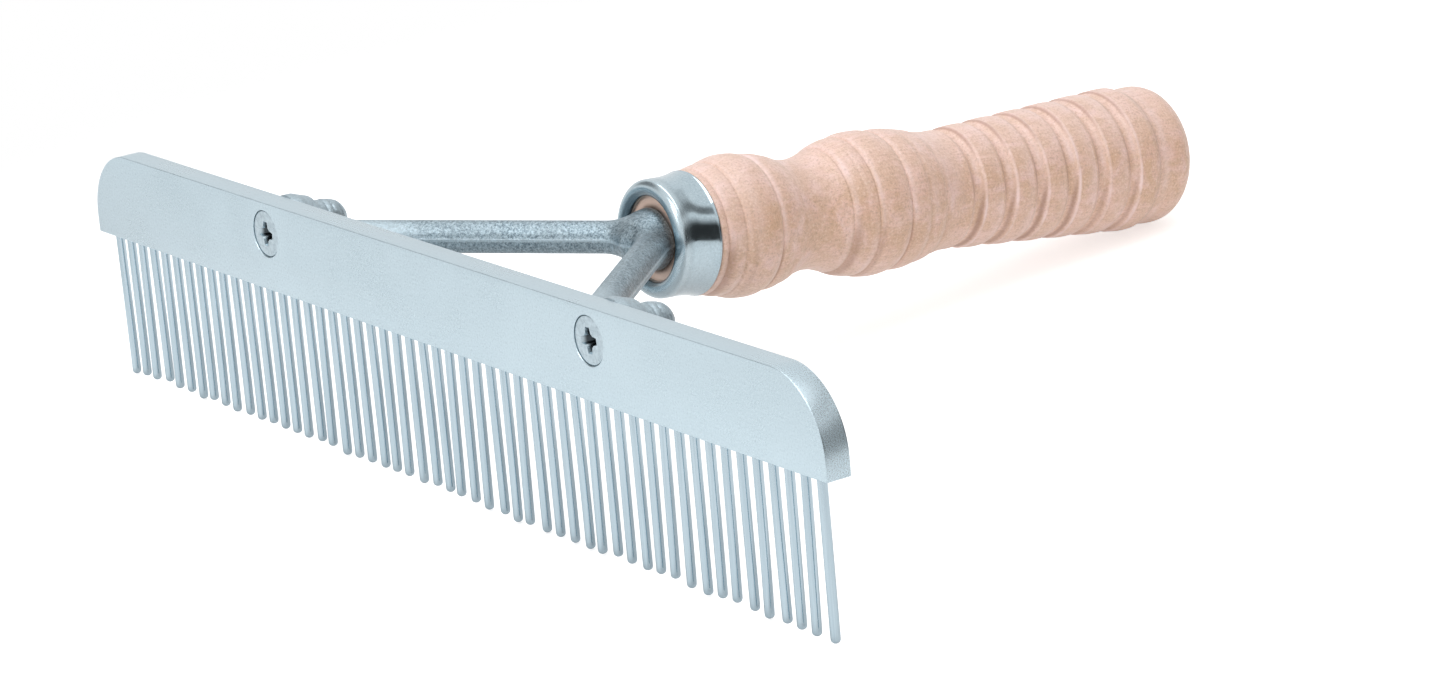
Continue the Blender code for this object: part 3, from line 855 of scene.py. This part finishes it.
class Graph:
    """Short calls for building a material's or the world's node tree."""

    def __init__(self, tree):
        self.tree = tree

    def node(self, kind, **settings):
        made = self.tree.nodes.new(kind)
        for key, value in settings.items():
            setattr(made, key, value)
        return made

    def join(self, value, socket):
        if isinstance(value, bpy.types.NodeSocket):
            self.tree.links.new(value, socket)
        else:
            socket.default_value = value

    def math(self, operation, a, b=0.0, c=0.0, clamp=False):
        made = self.node("ShaderNodeMath", operation=operation, use_clamp=clamp)
        for socket, value in zip(made.inputs, (a, b, c)):
            self.join(value, socket)
        return made.outputs[0]

    def vector(self, operation, a, b=(0, 0, 0)):
        made = self.node("ShaderNodeVectorMath", operation=operation)
        self.join(a, made.inputs[0])
        if operation == "SCALE":
            self.join(b, made.inputs["Scale"])
        else:
            self.join(b, made.inputs[1])
        return made.outputs["Value"] if operation in ("DOT_PRODUCT", "LENGTH", "DISTANCE") else made.outputs[0]

    def split(self, value):
        made = self.node("ShaderNodeSeparateXYZ")
        self.join(value, made.inputs[0])
        return made.outputs

    def combine(self, x, y, z):
        made = self.node("ShaderNodeCombineXYZ")
        for socket, value in zip(made.inputs, (x, y, z)):
            self.join(value, socket)
        return made.outputs[0]

    def attribute(self, name):
        made = self.node("ShaderNodeAttribute", attribute_name=name)
        return made.outputs

    def noise(self, vector, scale, detail=2.0, roughness=0.5, distortion=0.0, stretch=None):
        if stretch is not None:
            vector = self.vector("MULTIPLY", vector, stretch)
        made = self.node("ShaderNodeTexNoise")
        self.join(vector, made.inputs["Vector"])
        made.inputs["Scale"].default_value = scale
        made.inputs["Detail"].default_value = detail
        made.inputs["Roughness"].default_value = roughness
        made.inputs["Distortion"].default_value = distortion
        return made.outputs["Fac"]

    def ramp(self, value, stops, interpolation="EASE"):
        made = self.node("ShaderNodeValToRGB")
        made.color_ramp.interpolation = interpolation
        elements = made.color_ramp.elements
        while len(elements) < len(stops):
            elements.new(0.5)
        for element, (position, colour) in zip(elements, stops):
            element.position = position
            if isinstance(colour, (int, float)):
                colour = (colour, colour, colour)
            element.color = (*colour, 1.0)
        self.join(value, made.inputs[0])
        return made.outputs[0]

    def span(self, value, low, high, to_low=0.0, to_high=1.0, smooth=True):
        made = self.node("ShaderNodeMapRange", interpolation_type="SMOOTHSTEP" if smooth else "LINEAR")
        for socket, item in zip(made.inputs, (value, low, high, to_low, to_high)):
            self.join(item, socket)
        return made.outputs[0]

    def mix(self, factor, a, b, mode="MIX"):
        made = self.node("ShaderNodeMix", data_type="RGBA", blend_type=mode)
        made.clamp_factor = True
        self.join(factor, made.inputs[0])
        for socket, value in ((made.inputs[6], a), (made.inputs[7], b)):
            if not isinstance(value, bpy.types.NodeSocket):
                value = (*value, 1.0) if len(value) == 3 else value
            self.join(value, socket)
        return made.outputs[2]

    def bump(self, height, strength, distance, normal=None):
        made = self.node("ShaderNodeBump")
        made.inputs["Strength"].default_value = strength
        made.inputs["Distance"].default_value = distance
        self.join(height, made.inputs["Height"])
        if normal is not None:
            self.join(normal, made.inputs["Normal"])
        return made.outputs[0]


def new_material(name):
    made = bpy.data.materials.new(name)
    made.use_nodes = True
    tree = made.node_tree
    shader = tree.nodes["Principled BSDF"]
    return made, Graph(tree), shader


def bar_material():
    """Satin metal, brushed along the bar, with a fine grain and faint rubbed patches. It is painted lighter towards
    its +X end and carries a painted dark reflection along the top of its rim faces.
    """
    made, g, shader = new_material("satin_bar_metal")
    local = g.attribute("local")["Vector"]
    brushed = g.noise(local, 1.0, 3.0, 0.6, stretch=(0.22, 5.5, 7.5))
    fine = g.noise(local, 1.0, 2.0, 0.6, stretch=(1.6, 16.0, 16.0))
    grain = g.noise(local, 2.6, 3.0, 0.7)
    depth = g.split(local)[1]
    edge = g.math("MULTIPLY", g.span(depth, 0.10, 0.35), g.span(depth, BAR_THICKNESS - 0.35, BAR_THICKNESS - 0.10, 1.0, 0.0))
    cloud = g.noise(local, 0.055, 2.0, 0.5)
    tone = g.math("ADD", g.math("MULTIPLY", brushed, 0.5), g.math("MULTIPLY", cloud, 0.5))
    colour = g.mix(g.span(tone, 0.36, 0.64), (0.560, 0.680, 0.745), (0.620, 0.745, 0.810))
    colour = g.mix(g.span(grain, 0.52, 0.70, 0.0, 0.60), colour, (0.400, 0.500, 0.555))
    colour = g.mix(g.span(grain, 0.30, 0.48, 0.60, 0.0), colour, (0.740, 0.860, 0.920))
    # painted light: the bar is painted lighter towards its +X end
    colour = g.mix(g.span(g.split(local)[0], -20.0, 112.0, 0.0, 0.30), colour, (0.700, 0.830, 0.895))
    # painted reflection: the rim faces are painted darker near the top of the bar
    painted_top_reflection = g.math("MULTIPLY", edge, g.span(g.split(local)[2], 12.5, 15.9))
    colour = g.mix(g.math("MULTIPLY", painted_top_reflection, 0.62), colour, (0.440, 0.540, 0.595))
    g.join(colour, shader.inputs["Base Color"])
    rough = g.math("ADD", g.span(cloud, 0.35, 0.65, 0.28, 0.34), g.span(brushed, 0.3, 0.7, -0.03, 0.03))
    g.join(g.math("SUBTRACT", 1.0, g.math("MULTIPLY", edge, 0.38)), shader.inputs["Metallic"])
    g.join(rough, shader.inputs["Roughness"])
    height = g.math("ADD", g.math("MULTIPLY", brushed, 0.6), g.math("MULTIPLY", fine, 0.4))
    normal = g.bump(height, 0.35, 0.000020)
    normal = g.bump(grain, 0.6, 0.000050, normal)
    g.join(normal, shader.inputs["Normal"])
    return made


def pin_material():
    """Drawn wire: lines along the pin, brighter and smoother at the tip."""
    made, g, shader = new_material("pin_steel")
    local = g.attribute("local")["Vector"]
    drawn = g.noise(local, 1.0, 3.0, 0.6, stretch=(3.0, 0.05, 3.0))
    marks = g.noise(local, 1.0, 2.0, 0.6, stretch=(2.0, 4.0, 2.0))
    colour = g.mix(g.span(drawn, 0.35, 0.65), (0.495, 0.608, 0.676), (0.555, 0.668, 0.735))
    colour = g.mix(g.span(marks, 0.62, 0.78, 0.0, 0.14), colour, (0.40, 0.49, 0.545))
    g.join(colour, shader.inputs["Base Color"])
    shader.inputs["Metallic"].default_value = 1.0
    station = g.split(local)[1]
    tip = g.span(station, TOOTH_PROJECTION - 1.6, TOOTH_PROJECTION - 0.4)
    rough = g.math("SUBTRACT", g.span(drawn, 0.3, 0.7, 0.05, 0.09), g.math("MULTIPLY", tip, 0.03))
    g.join(rough, shader.inputs["Roughness"])
    normal = g.bump(drawn, 0.2, 0.000006)
    g.join(normal, shader.inputs["Normal"])
    return made


def screw_material():
    """Duller steel with turned rings on the head, and painted shade, near black, down in the recess."""
    made, g, shader = new_material("screw_steel")
    local = g.attribute("local")["Vector"]
    x, y, z = g.split(local)
    radius = g.math("SQRT", g.math("ADD", g.math("MULTIPLY", x, x), g.math("MULTIPLY", z, z)))
    rings = g.noise(g.combine(g.math("MULTIPLY", radius, 5.0), y, 0.0), 1.0, 3.0, 0.6)
    angle = g.math("ARCTAN2", z, x)
    spokes = g.noise(g.combine(g.math("COSINE", angle), g.math("SINE", angle), 0.0), 7.0, 3.0, 0.65)
    blotch = g.noise(local, 0.9, 3.0, 0.6)
    colour = g.mix(g.span(blotch, 0.35, 0.65), (0.47, 0.570, 0.625), (0.60, 0.710, 0.770))
    colour = g.mix(g.span(spokes, 0.52, 0.72, 0.0, 0.35), colour, (0.33, 0.38, 0.42))
    # painted shade: down in the recess the steel is painted near black
    deep = g.span(y, SCREW_SINK + 0.10, SCREW_SINK + 0.9)
    inside = g.span(radius, 2.6, 2.9, 1.0, 0.0)
    colour = g.mix(g.math("MULTIPLY", g.math("MULTIPLY", deep, inside), 0.93), colour, (0.035, 0.04, 0.045))
    g.join(colour, shader.inputs["Base Color"])
    shader.inputs["Metallic"].default_value = 1.0
    g.join(g.span(blotch, 0.3, 0.7, 0.26, 0.42), shader.inputs["Roughness"])
    normal = g.bump(rings, 0.5, 0.000030)
    normal = g.bump(spokes, 0.35, 0.000045, normal)
    g.join(normal, shader.inputs["Normal"])
    return made


def fork_material():
    """Cast and tumbled metal: a fine sparkling grain, smoother where it has been rubbed."""
    made, g, shader = new_material("cast_fork_metal")
    local = g.attribute("local")["Vector"]
    grain = g.noise(local, 2.8, 4.0, 0.75)
    speck = g.noise(local, 5.0, 2.0, 0.6)
    cloud = g.noise(local, 0.16, 3.0, 0.55)
    colour = g.mix(g.span(grain, 0.36, 0.62), (0.122, 0.172, 0.207), (0.430, 0.540, 0.604))
    colour = g.mix(g.span(cloud, 0.35, 0.65, 0.0, 0.25), colour, (0.40, 0.47, 0.51))
    coarse = g.noise(local, 1.5, 3.0, 0.7)
    colour = g.mix(g.span(coarse, 0.50, 0.66, 0.0, 0.45), colour, (0.110, 0.150, 0.178))
    colour = g.mix(g.span(coarse, 0.34, 0.48, 0.45, 0.0), colour, (0.560, 0.670, 0.730))
    colour = g.mix(g.span(speck, 0.58, 0.70, 0.0, 0.6), colour, (0.70, 0.80, 0.85))
    station = g.split(local)[1]
    # the mould's parting line: a real ridge, with a painted highlight along it
    off = g.vector("DOT_PRODUCT", g.vector("SUBTRACT", local, ARM_ROOT), tuple(PLANE_NORMAL))
    seam = g.math("MULTIPLY", g.span(g.math("ABSOLUTE", off), 0.12, 0.40, 1.0, 0.0), g.span(station, 14.0, 17.0))
    colour = g.mix(g.math("MULTIPLY", seam, 0.55), colour, (0.700, 0.810, 0.870))
    # painted light: near the bar, below station 19, the fork is painted lighter
    foot = g.span(station, 13.0, 19.0, 1.0, 0.0)
    colour = g.mix(g.math("MULTIPLY", foot, 0.62), colour, (0.520, 0.620, 0.675))
    g.join(colour, shader.inputs["Base Color"])
    shader.inputs["Metallic"].default_value = 1.0
    rough = g.math("ADD", g.span(cloud, 0.35, 0.65, 0.38, 0.47), g.span(grain, 0.3, 0.7, -0.05, 0.05))
    g.join(rough, shader.inputs["Roughness"])
    normal = g.bump(grain, 0.55, 0.000120)
    normal = g.bump(speck, 0.4, 0.000060, normal)
    g.join(normal, shader.inputs["Normal"])
    return made


def ferrule_material():
    """Polished plate: nearly a mirror, with faint lines round it and a few rubbed smears. Its lip carries painted
    shade inside and a painted highlight on its outer shoulder.
    """
    made, g, shader = new_material("polished_ferrule")
    local = g.attribute("local")["Vector"]
    x, y, z = g.split(local)
    radius = g.math("SQRT", g.math("ADD", g.math("MULTIPLY", x, x), g.math("MULTIPLY", z, z)))
    profile = g.combine(g.math("MULTIPLY", y, 9.0), g.math("MULTIPLY", radius, 9.0), 0.0)
    rings = g.noise(profile, 1.0, 3.0, 0.6)
    smear = g.noise(local, 0.22, 3.0, 0.6, 0.4)
    scratch = g.noise(local, 1.0, 2.0, 0.5, stretch=(0.5, 9.0, 0.5))
    colour = g.mix(g.span(smear, 0.35, 0.65), (0.490, 0.600, 0.660), (0.525, 0.635, 0.692))
    grain = g.noise(local, 2.8, 3.0, 0.7)
    colour = g.mix(g.span(grain, 0.50, 0.68, 0.0, 0.60), colour, (0.400, 0.495, 0.550))
    colour = g.mix(g.span(grain, 0.32, 0.48, 0.60, 0.0), colour, (0.600, 0.715, 0.775))
    # painted shade: the lip is painted darker, most towards its inner edge
    lip = g.span(y, 48.2, 49.4, 1.0, 0.0)
    inner = g.span(radius, 7.9, 9.3, 0.85, 0.22)
    colour = g.mix(g.math("MULTIPLY", lip, inner), colour, (0.300, 0.365, 0.400))
    # painted highlight: the lip's outer shoulder is painted lighter
    shoulder = g.math("MULTIPLY", g.span(radius, 8.8, 9.8), g.span(y, 47.6, 48.8, 1.0, 0.0))
    colour = g.mix(g.math("MULTIPLY", shoulder, 0.30), colour, (0.690, 0.790, 0.835))
    g.join(colour, shader.inputs["Base Color"])
    shader.inputs["Metallic"].default_value = 1.0
    rough = g.math("ADD", g.span(smear, 0.35, 0.7, 0.085, 0.15), g.span(scratch, 0.55, 0.75, 0.0, 0.06))
    rough = g.math("ADD", rough, g.math("MULTIPLY", lip, 0.12))
    g.join(rough, shader.inputs["Roughness"])
    normal = g.bump(rings, 0.25, 0.000010)
    g.join(normal, shader.inputs["Normal"])
    return made


def wood_material():
    """Pale hardwood, turned and thinly lacquered: long fine grain, soft pink and tan drifts,
    small pores, faint tool rings, painted shade down in the cuts and round the hub, and painted light on rims, top,
    underside and collar mouth."""
    made, g, shader = new_material("pale_hardwood")
    local = g.attribute("local")["Vector"]
    painted_cut_shade = g.attribute("painted_cut_shade")["Fac"]
    x, y, z = g.split(local)
    drift = g.noise(local, 1.0, 3.0, 0.55, 0.3, stretch=(0.11, 0.022, 0.11))
    bent = g.vector("ADD", local, g.combine(g.math("MULTIPLY", drift, 7.0), 0.0, g.math("MULTIPLY", drift, -5.0)))
    bx, _by, bz = g.split(bent)
    off_x, off_z = g.math("ADD", bx, 21.0), g.math("ADD", bz, 9.0)
    pith = g.math("SQRT", g.math("ADD", g.math("MULTIPLY", off_x, off_x), g.math("MULTIPLY", off_z, off_z)))
    ring = g.noise(g.combine(g.math("MULTIPLY", pith, 0.75), g.math("MULTIPLY", y, 0.012), 0.0), 1.0, 3.0, 0.6)
    fibre = g.noise(bent, 1.0, 4.0, 0.65, stretch=(2.4, 0.085, 2.4))
    pore = g.noise(local, 1.0, 2.0, 0.6, stretch=(5.5, 0.75, 5.5))
    fleck = g.noise(local, 1.0, 2.0, 0.55, stretch=(1.5, 0.55, 1.5))
    rim = g.attribute("rim")["Fac"]
    mottle = g.noise(local, 0.26, 3.0, 0.6, 0.6, stretch=(1.0, 0.8, 1.0))
    speck = g.noise(local, 2.3, 3.0, 0.75)
    tan = g.noise(local, 0.55, 3.0, 0.6, 0.4, stretch=(1.0, 0.6, 1.0))
    broken = g.noise(local, 0.20, 2.0, 0.6)
    colour = g.mix(g.span(ring, 0.34, 0.66), (0.795, 0.492, 0.345), (0.910, 0.610, 0.505))
    colour = g.mix(g.span(drift, 0.35, 0.65, 0.0, 0.5), colour, (0.765, 0.490, 0.400))
    colour = g.mix(g.span(mottle, 0.42, 0.62, 0.0, 0.72), colour, (0.700, 0.435, 0.262))
    colour = g.mix(g.span(mottle, 0.32, 0.46, 0.65, 0.0), colour, (0.905, 0.620, 0.560))
    colour = g.mix(g.span(tan, 0.48, 0.68, 0.0, 0.34), colour, (0.640, 0.405, 0.250))
    reach = g.math("MAXIMUM", g.math("SQRT", g.math("ADD", g.math("MULTIPLY", x, x), g.math("MULTIPLY", z, z))), 0.5)
    upper = g.math("DIVIDE", z, reach)
    # painted light: the top of the handle is painted paler, less so near the collar
    pale = g.math("MULTIPLY", g.span(upper, 0.10, 0.95), g.span(y, 45.0, 54.0, 0.5, 1.0))
    colour = g.mix(g.math("MULTIPLY", pale, 0.42), colour, (0.900, 0.660, 0.610))
    # painted light: the underside of the handle is painted paler too
    painted_underside_light = g.span(upper, -0.95, -0.30, 1.0, 0.0)
    colour = g.mix(g.math("MULTIPLY", painted_underside_light, 0.45), colour, (0.920, 0.690, 0.600))
    colour = g.mix(g.span(fibre, 0.42, 0.72, 0.0, 0.40), colour, (0.580, 0.350, 0.225))
    colour = g.mix(g.span(speck, 0.52, 0.66, 0.0, 0.46), colour, (0.460, 0.280, 0.195))
    colour = g.mix(g.span(speck, 0.34, 0.48, 0.46, 0.0), colour, (0.960, 0.760, 0.670))
    colour = g.mix(g.span(pore, 0.62, 0.76, 0.0, 0.35), colour, (0.400, 0.250, 0.170))
    colour = g.mix(g.span(fleck, 0.58, 0.74, 0.0, 0.25), colour, (0.800, 0.600, 0.500))
    # painted shade in the grooves and creases
    colour = g.mix(g.span(painted_cut_shade, 0.08, 1.25, 0.0, 0.72), colour, (0.390, 0.205, 0.150))
    colour = g.mix(g.span(y, 156.5, 160.0, 0.0, 0.35), colour, (0.640, 0.405, 0.245))
    # painted highlights on the rims, shoulders and lands
    colour = g.mix(g.math("MULTIPLY", rim, g.span(broken, 0.38, 0.62, 0.35, 0.80)), colour, (0.985, 0.770, 0.755))
    # painted light: the wood at and inside the collar's mouth, shaded there, is painted lighter
    colour = g.mix(g.span(y, 48.0, 52.0, 1.0, 0.0), colour, (1.0, 0.700, 0.560))
    # painted shadow: a dark, broken ring on the wood round the hub
    painted_hub_shadow = g.math("MULTIPLY", g.span(reach, 5.3, 6.5, 1.0, 0.0), g.span(y, 48.2, 49.2, 1.0, 0.0))
    colour = g.mix(g.math("MULTIPLY", painted_hub_shadow, g.span(broken, 0.36, 0.60, 0.35, 0.85)), colour, (0.100, 0.065, 0.050))
    g.join(colour, shader.inputs["Base Color"])
    rough = g.math("ADD", g.span(fibre, 0.3, 0.7, 0.40, 0.48), g.span(painted_cut_shade, 0.1, 0.9, 0.0, 0.12))
    g.join(rough, shader.inputs["Roughness"])
    shader.inputs["IOR"].default_value = 1.75
    shader.inputs["Sheen Weight"].default_value = 0.22
    shader.inputs["Sheen Roughness"].default_value = 0.40
    turn = g.noise(g.combine(g.math("MULTIPLY", y, 6.0), g.math("MULTIPLY", x, 0.02), g.math("MULTIPLY", z, 0.02)), 1.0, 3.0, 0.6)
    normal = g.bump(fibre, 0.35, 0.000050)
    normal = g.bump(turn, 0.35, 0.000045, normal)
    normal = g.bump(pore, 0.30, 0.000040, normal)
    normal = g.bump(speck, 0.35, 0.000060, normal)
    g.join(normal, shader.inputs["Normal"])
    return made


# ---------------------------------------------------------------- stage


def direction(azimuth, elevation):
    """A unit vector. Azimuth 0 is +Y and 90 is +X."""
    a, e = math.radians(azimuth), math.radians(elevation)
    return (math.sin(a) * math.cos(e), math.cos(a) * math.cos(e), math.sin(e))


def make_world():
    """A white room. For what the metal mirrors it has a dark gap low on one side, as between a
    white table and the lamps, and softer greys above it."""
    world = bpy.data.worlds.new("studio")
    bpy.context.scene.world = world
    world.use_nodes = True
    world.node_tree.nodes.clear()
    g = Graph(world.node_tree)
    way = g.node("ShaderNodeTexCoord").outputs["Generated"]
    x, y, z = g.split(way)
    flat = g.math("MAXIMUM", g.math("SQRT", g.math("ADD", g.math("MULTIPLY", x, x), g.math("MULTIPLY", y, y))), 0.001)
    sx, sy, _ = direction(57, 0)
    side = g.math("DIVIDE", g.math("ADD", g.math("MULTIPLY", x, sx), g.math("MULTIPLY", y, sy)), flat)
    sector = g.span(side, math.cos(math.radians(62)), math.cos(math.radians(30)))
    low = g.span(z, math.sin(math.radians(-15.2)), math.sin(math.radians(-10.2)))
    high = g.span(z, math.sin(math.radians(16)), math.sin(math.radians(32)), 1.0, 0.0)
    gap = g.math("MULTIPLY", g.math("MULTIPLY", low, high), sector)
    sky = g.span(z, math.sin(math.radians(2)), math.sin(math.radians(60)), 0.92, 0.92)
    level = g.math("MULTIPLY", sky, g.math("SUBTRACT", 1.0, g.math("MULTIPLY", gap, 0.955)))
    rise = g.span(z, math.sin(math.radians(32.5)), math.sin(math.radians(37)))
    fall = g.span(z, math.sin(math.radians(42.2)), math.sin(math.radians(50.4)), 1.0, 0.0)
    turn = g.math("DIVIDE", g.math("ADD", g.math("MULTIPLY", x, direction(30, 0)[0]), g.math("MULTIPLY", y, direction(30, 0)[1])), flat)
    wide = g.span(turn, math.cos(math.radians(62)), math.cos(math.radians(18)))
    beam = g.math("MULTIPLY", g.math("MULTIPLY", rise, fall), wide)
    level = g.math("MULTIPLY", level, g.math("SUBTRACT", 1.0, g.math("MULTIPLY", beam, 0.76)))
    left = g.vector("DOT_PRODUCT", way, direction(-108, 33))
    level = g.math("MULTIPLY", level, g.span(left, math.cos(math.radians(26)), math.cos(math.radians(12)), 1.0, 0.30))
    back = g.node("ShaderNodeBackground")
    g.join(g.combine(level, level, level), back.inputs["Color"])
    plain = g.node("ShaderNodeBackground")
    plain.inputs["Color"].default_value = (1.0, 1.0, 1.0, 1.0)
    choose = g.node("ShaderNodeMixShader")
    rays = g.node("ShaderNodeLightPath")
    g.join(rays.outputs["Is Camera Ray"], choose.inputs[0])
    g.tree.links.new(back.outputs[0], choose.inputs[1])
    g.tree.links.new(plain.outputs[0], choose.inputs[2])
    out = g.node("ShaderNodeOutputWorld")
    g.tree.links.new(choose.outputs[0], out.inputs["Surface"])


def make_floor():
    """A white table top that fades into the white room at its rim."""
    count, radius = 128, 0.27
    points = [(0, 0, 0)] + [
        (radius * math.cos(2 * math.pi * i / count), radius * math.sin(2 * math.pi * i / count), 0)
        for i in range(count)
    ]
    mesh = bpy.data.meshes.new("floor")
    mesh.from_pydata(points, [], [(0, 1 + i, 1 + (i + 1) % count) for i in range(count)])
    floor = bpy.data.objects.new("floor", mesh)
    bpy.context.scene.collection.objects.link(floor)
    floor.location.z = -0.0002
    made, g, shader = new_material("white_table")
    where = g.node("ShaderNodeTexCoord").outputs["Object"]
    shader.inputs["Roughness"].default_value = 0.7
    shader.inputs["Base Color"].default_value = (0.72, 0.72, 0.72, 1.0)
    shader.inputs["Emission Color"].default_value = (1.0, 1.0, 1.0, 1.0)
    rays = g.node("ShaderNodeLightPath")
    # painted light: the table glows though it is no lamp; for bounced and mirrored rays it glows less towards +X and
    # +Y, a painted shadow leaves a strip behind the bar unlit, and camera rays see an even, stronger glow
    side = g.vector("DOT_PRODUCT", where, (0.84, 0.54, 0.0))
    glow = g.span(side, 0.03, 0.17, 0.21, 0.07)
    fx, fy, _fz = g.split(where)
    behind = g.math("MULTIPLY", g.span(fy, -0.044, -0.030, 1.0, 0.0), g.span(fy, -0.092, -0.080))
    behind = g.math("MULTIPLY", behind, g.span(g.math("ABSOLUTE", fx), 0.108, 0.124, 1.0, 0.0))
    glow = g.math("MULTIPLY", glow, g.math("SUBTRACT", 1.0, behind))
    g.join(g.span(rays.outputs["Is Camera Ray"], 0.0, 1.0, glow, 0.58), shader.inputs["Emission Strength"])
    reach = g.vector("LENGTH", where)
    g.join(g.span(reach, 0.18, 0.265, 1.0, 0.0), shader.inputs["Alpha"])
    mesh.materials.append(made)


def make_lamp(name, azimuth, elevation, distance, width, height, watts):
    data = bpy.data.lights.new(name, "AREA")
    data.shape = "RECTANGLE"
    data.size, data.size_y = width, height
    data.energy = watts
    lamp = bpy.data.objects.new(name, data)
    bpy.context.scene.collection.objects.link(lamp)
    way = Vector(direction(azimuth, elevation))
    lamp.location = way * distance
    lamp.rotation_mode = "QUATERNION"
    lamp.rotation_quaternion = way.to_track_quat("Z", "Y")
    return lamp


def make_camera():
    data = bpy.data.cameras.new("camera")
    data.sensor_fit = "HORIZONTAL"
    data.sensor_width = 36.0
    data.lens = 128.6957
    data.clip_start, data.clip_end = 0.05, 20.0
    camera = bpy.data.objects.new("camera", data)
    bpy.context.scene.collection.objects.link(camera)
    right = Vector((0.574083, 0.803160, -0.159258))
    up = Vector((-0.184532, 0.316408, 0.930502))
    back = right.cross(up)
    camera.matrix_world = Matrix.Translation(Vector((0.719672, -0.477254, 0.304169))) @ Matrix(
        ((right.x, up.x, back.x), (right.y, up.y, back.y), (right.z, up.z, back.z))
    ).to_4x4()
    bpy.context.scene.camera = camera


make_camera()
make_world()
make_floor()
make_lamp("softbox_front", 171, 39, 1.3, 0.42, 0.30, 1.4)
make_lamp("softbox_high", 154, 61, 1.3, 0.60, 0.34, 2.2)
make_lamp("strip_overhead", 0, 79, 1.4, 1.7, 0.26, 3.9)
bpy.context.scene.view_settings.view_transform = "Standard"

make_bar(bar_material())
make_pins(pin_material())
make_screws(screw_material())
make_fork(fork_material())
make_ferrule(ferrule_material())
make_handle(wood_material())
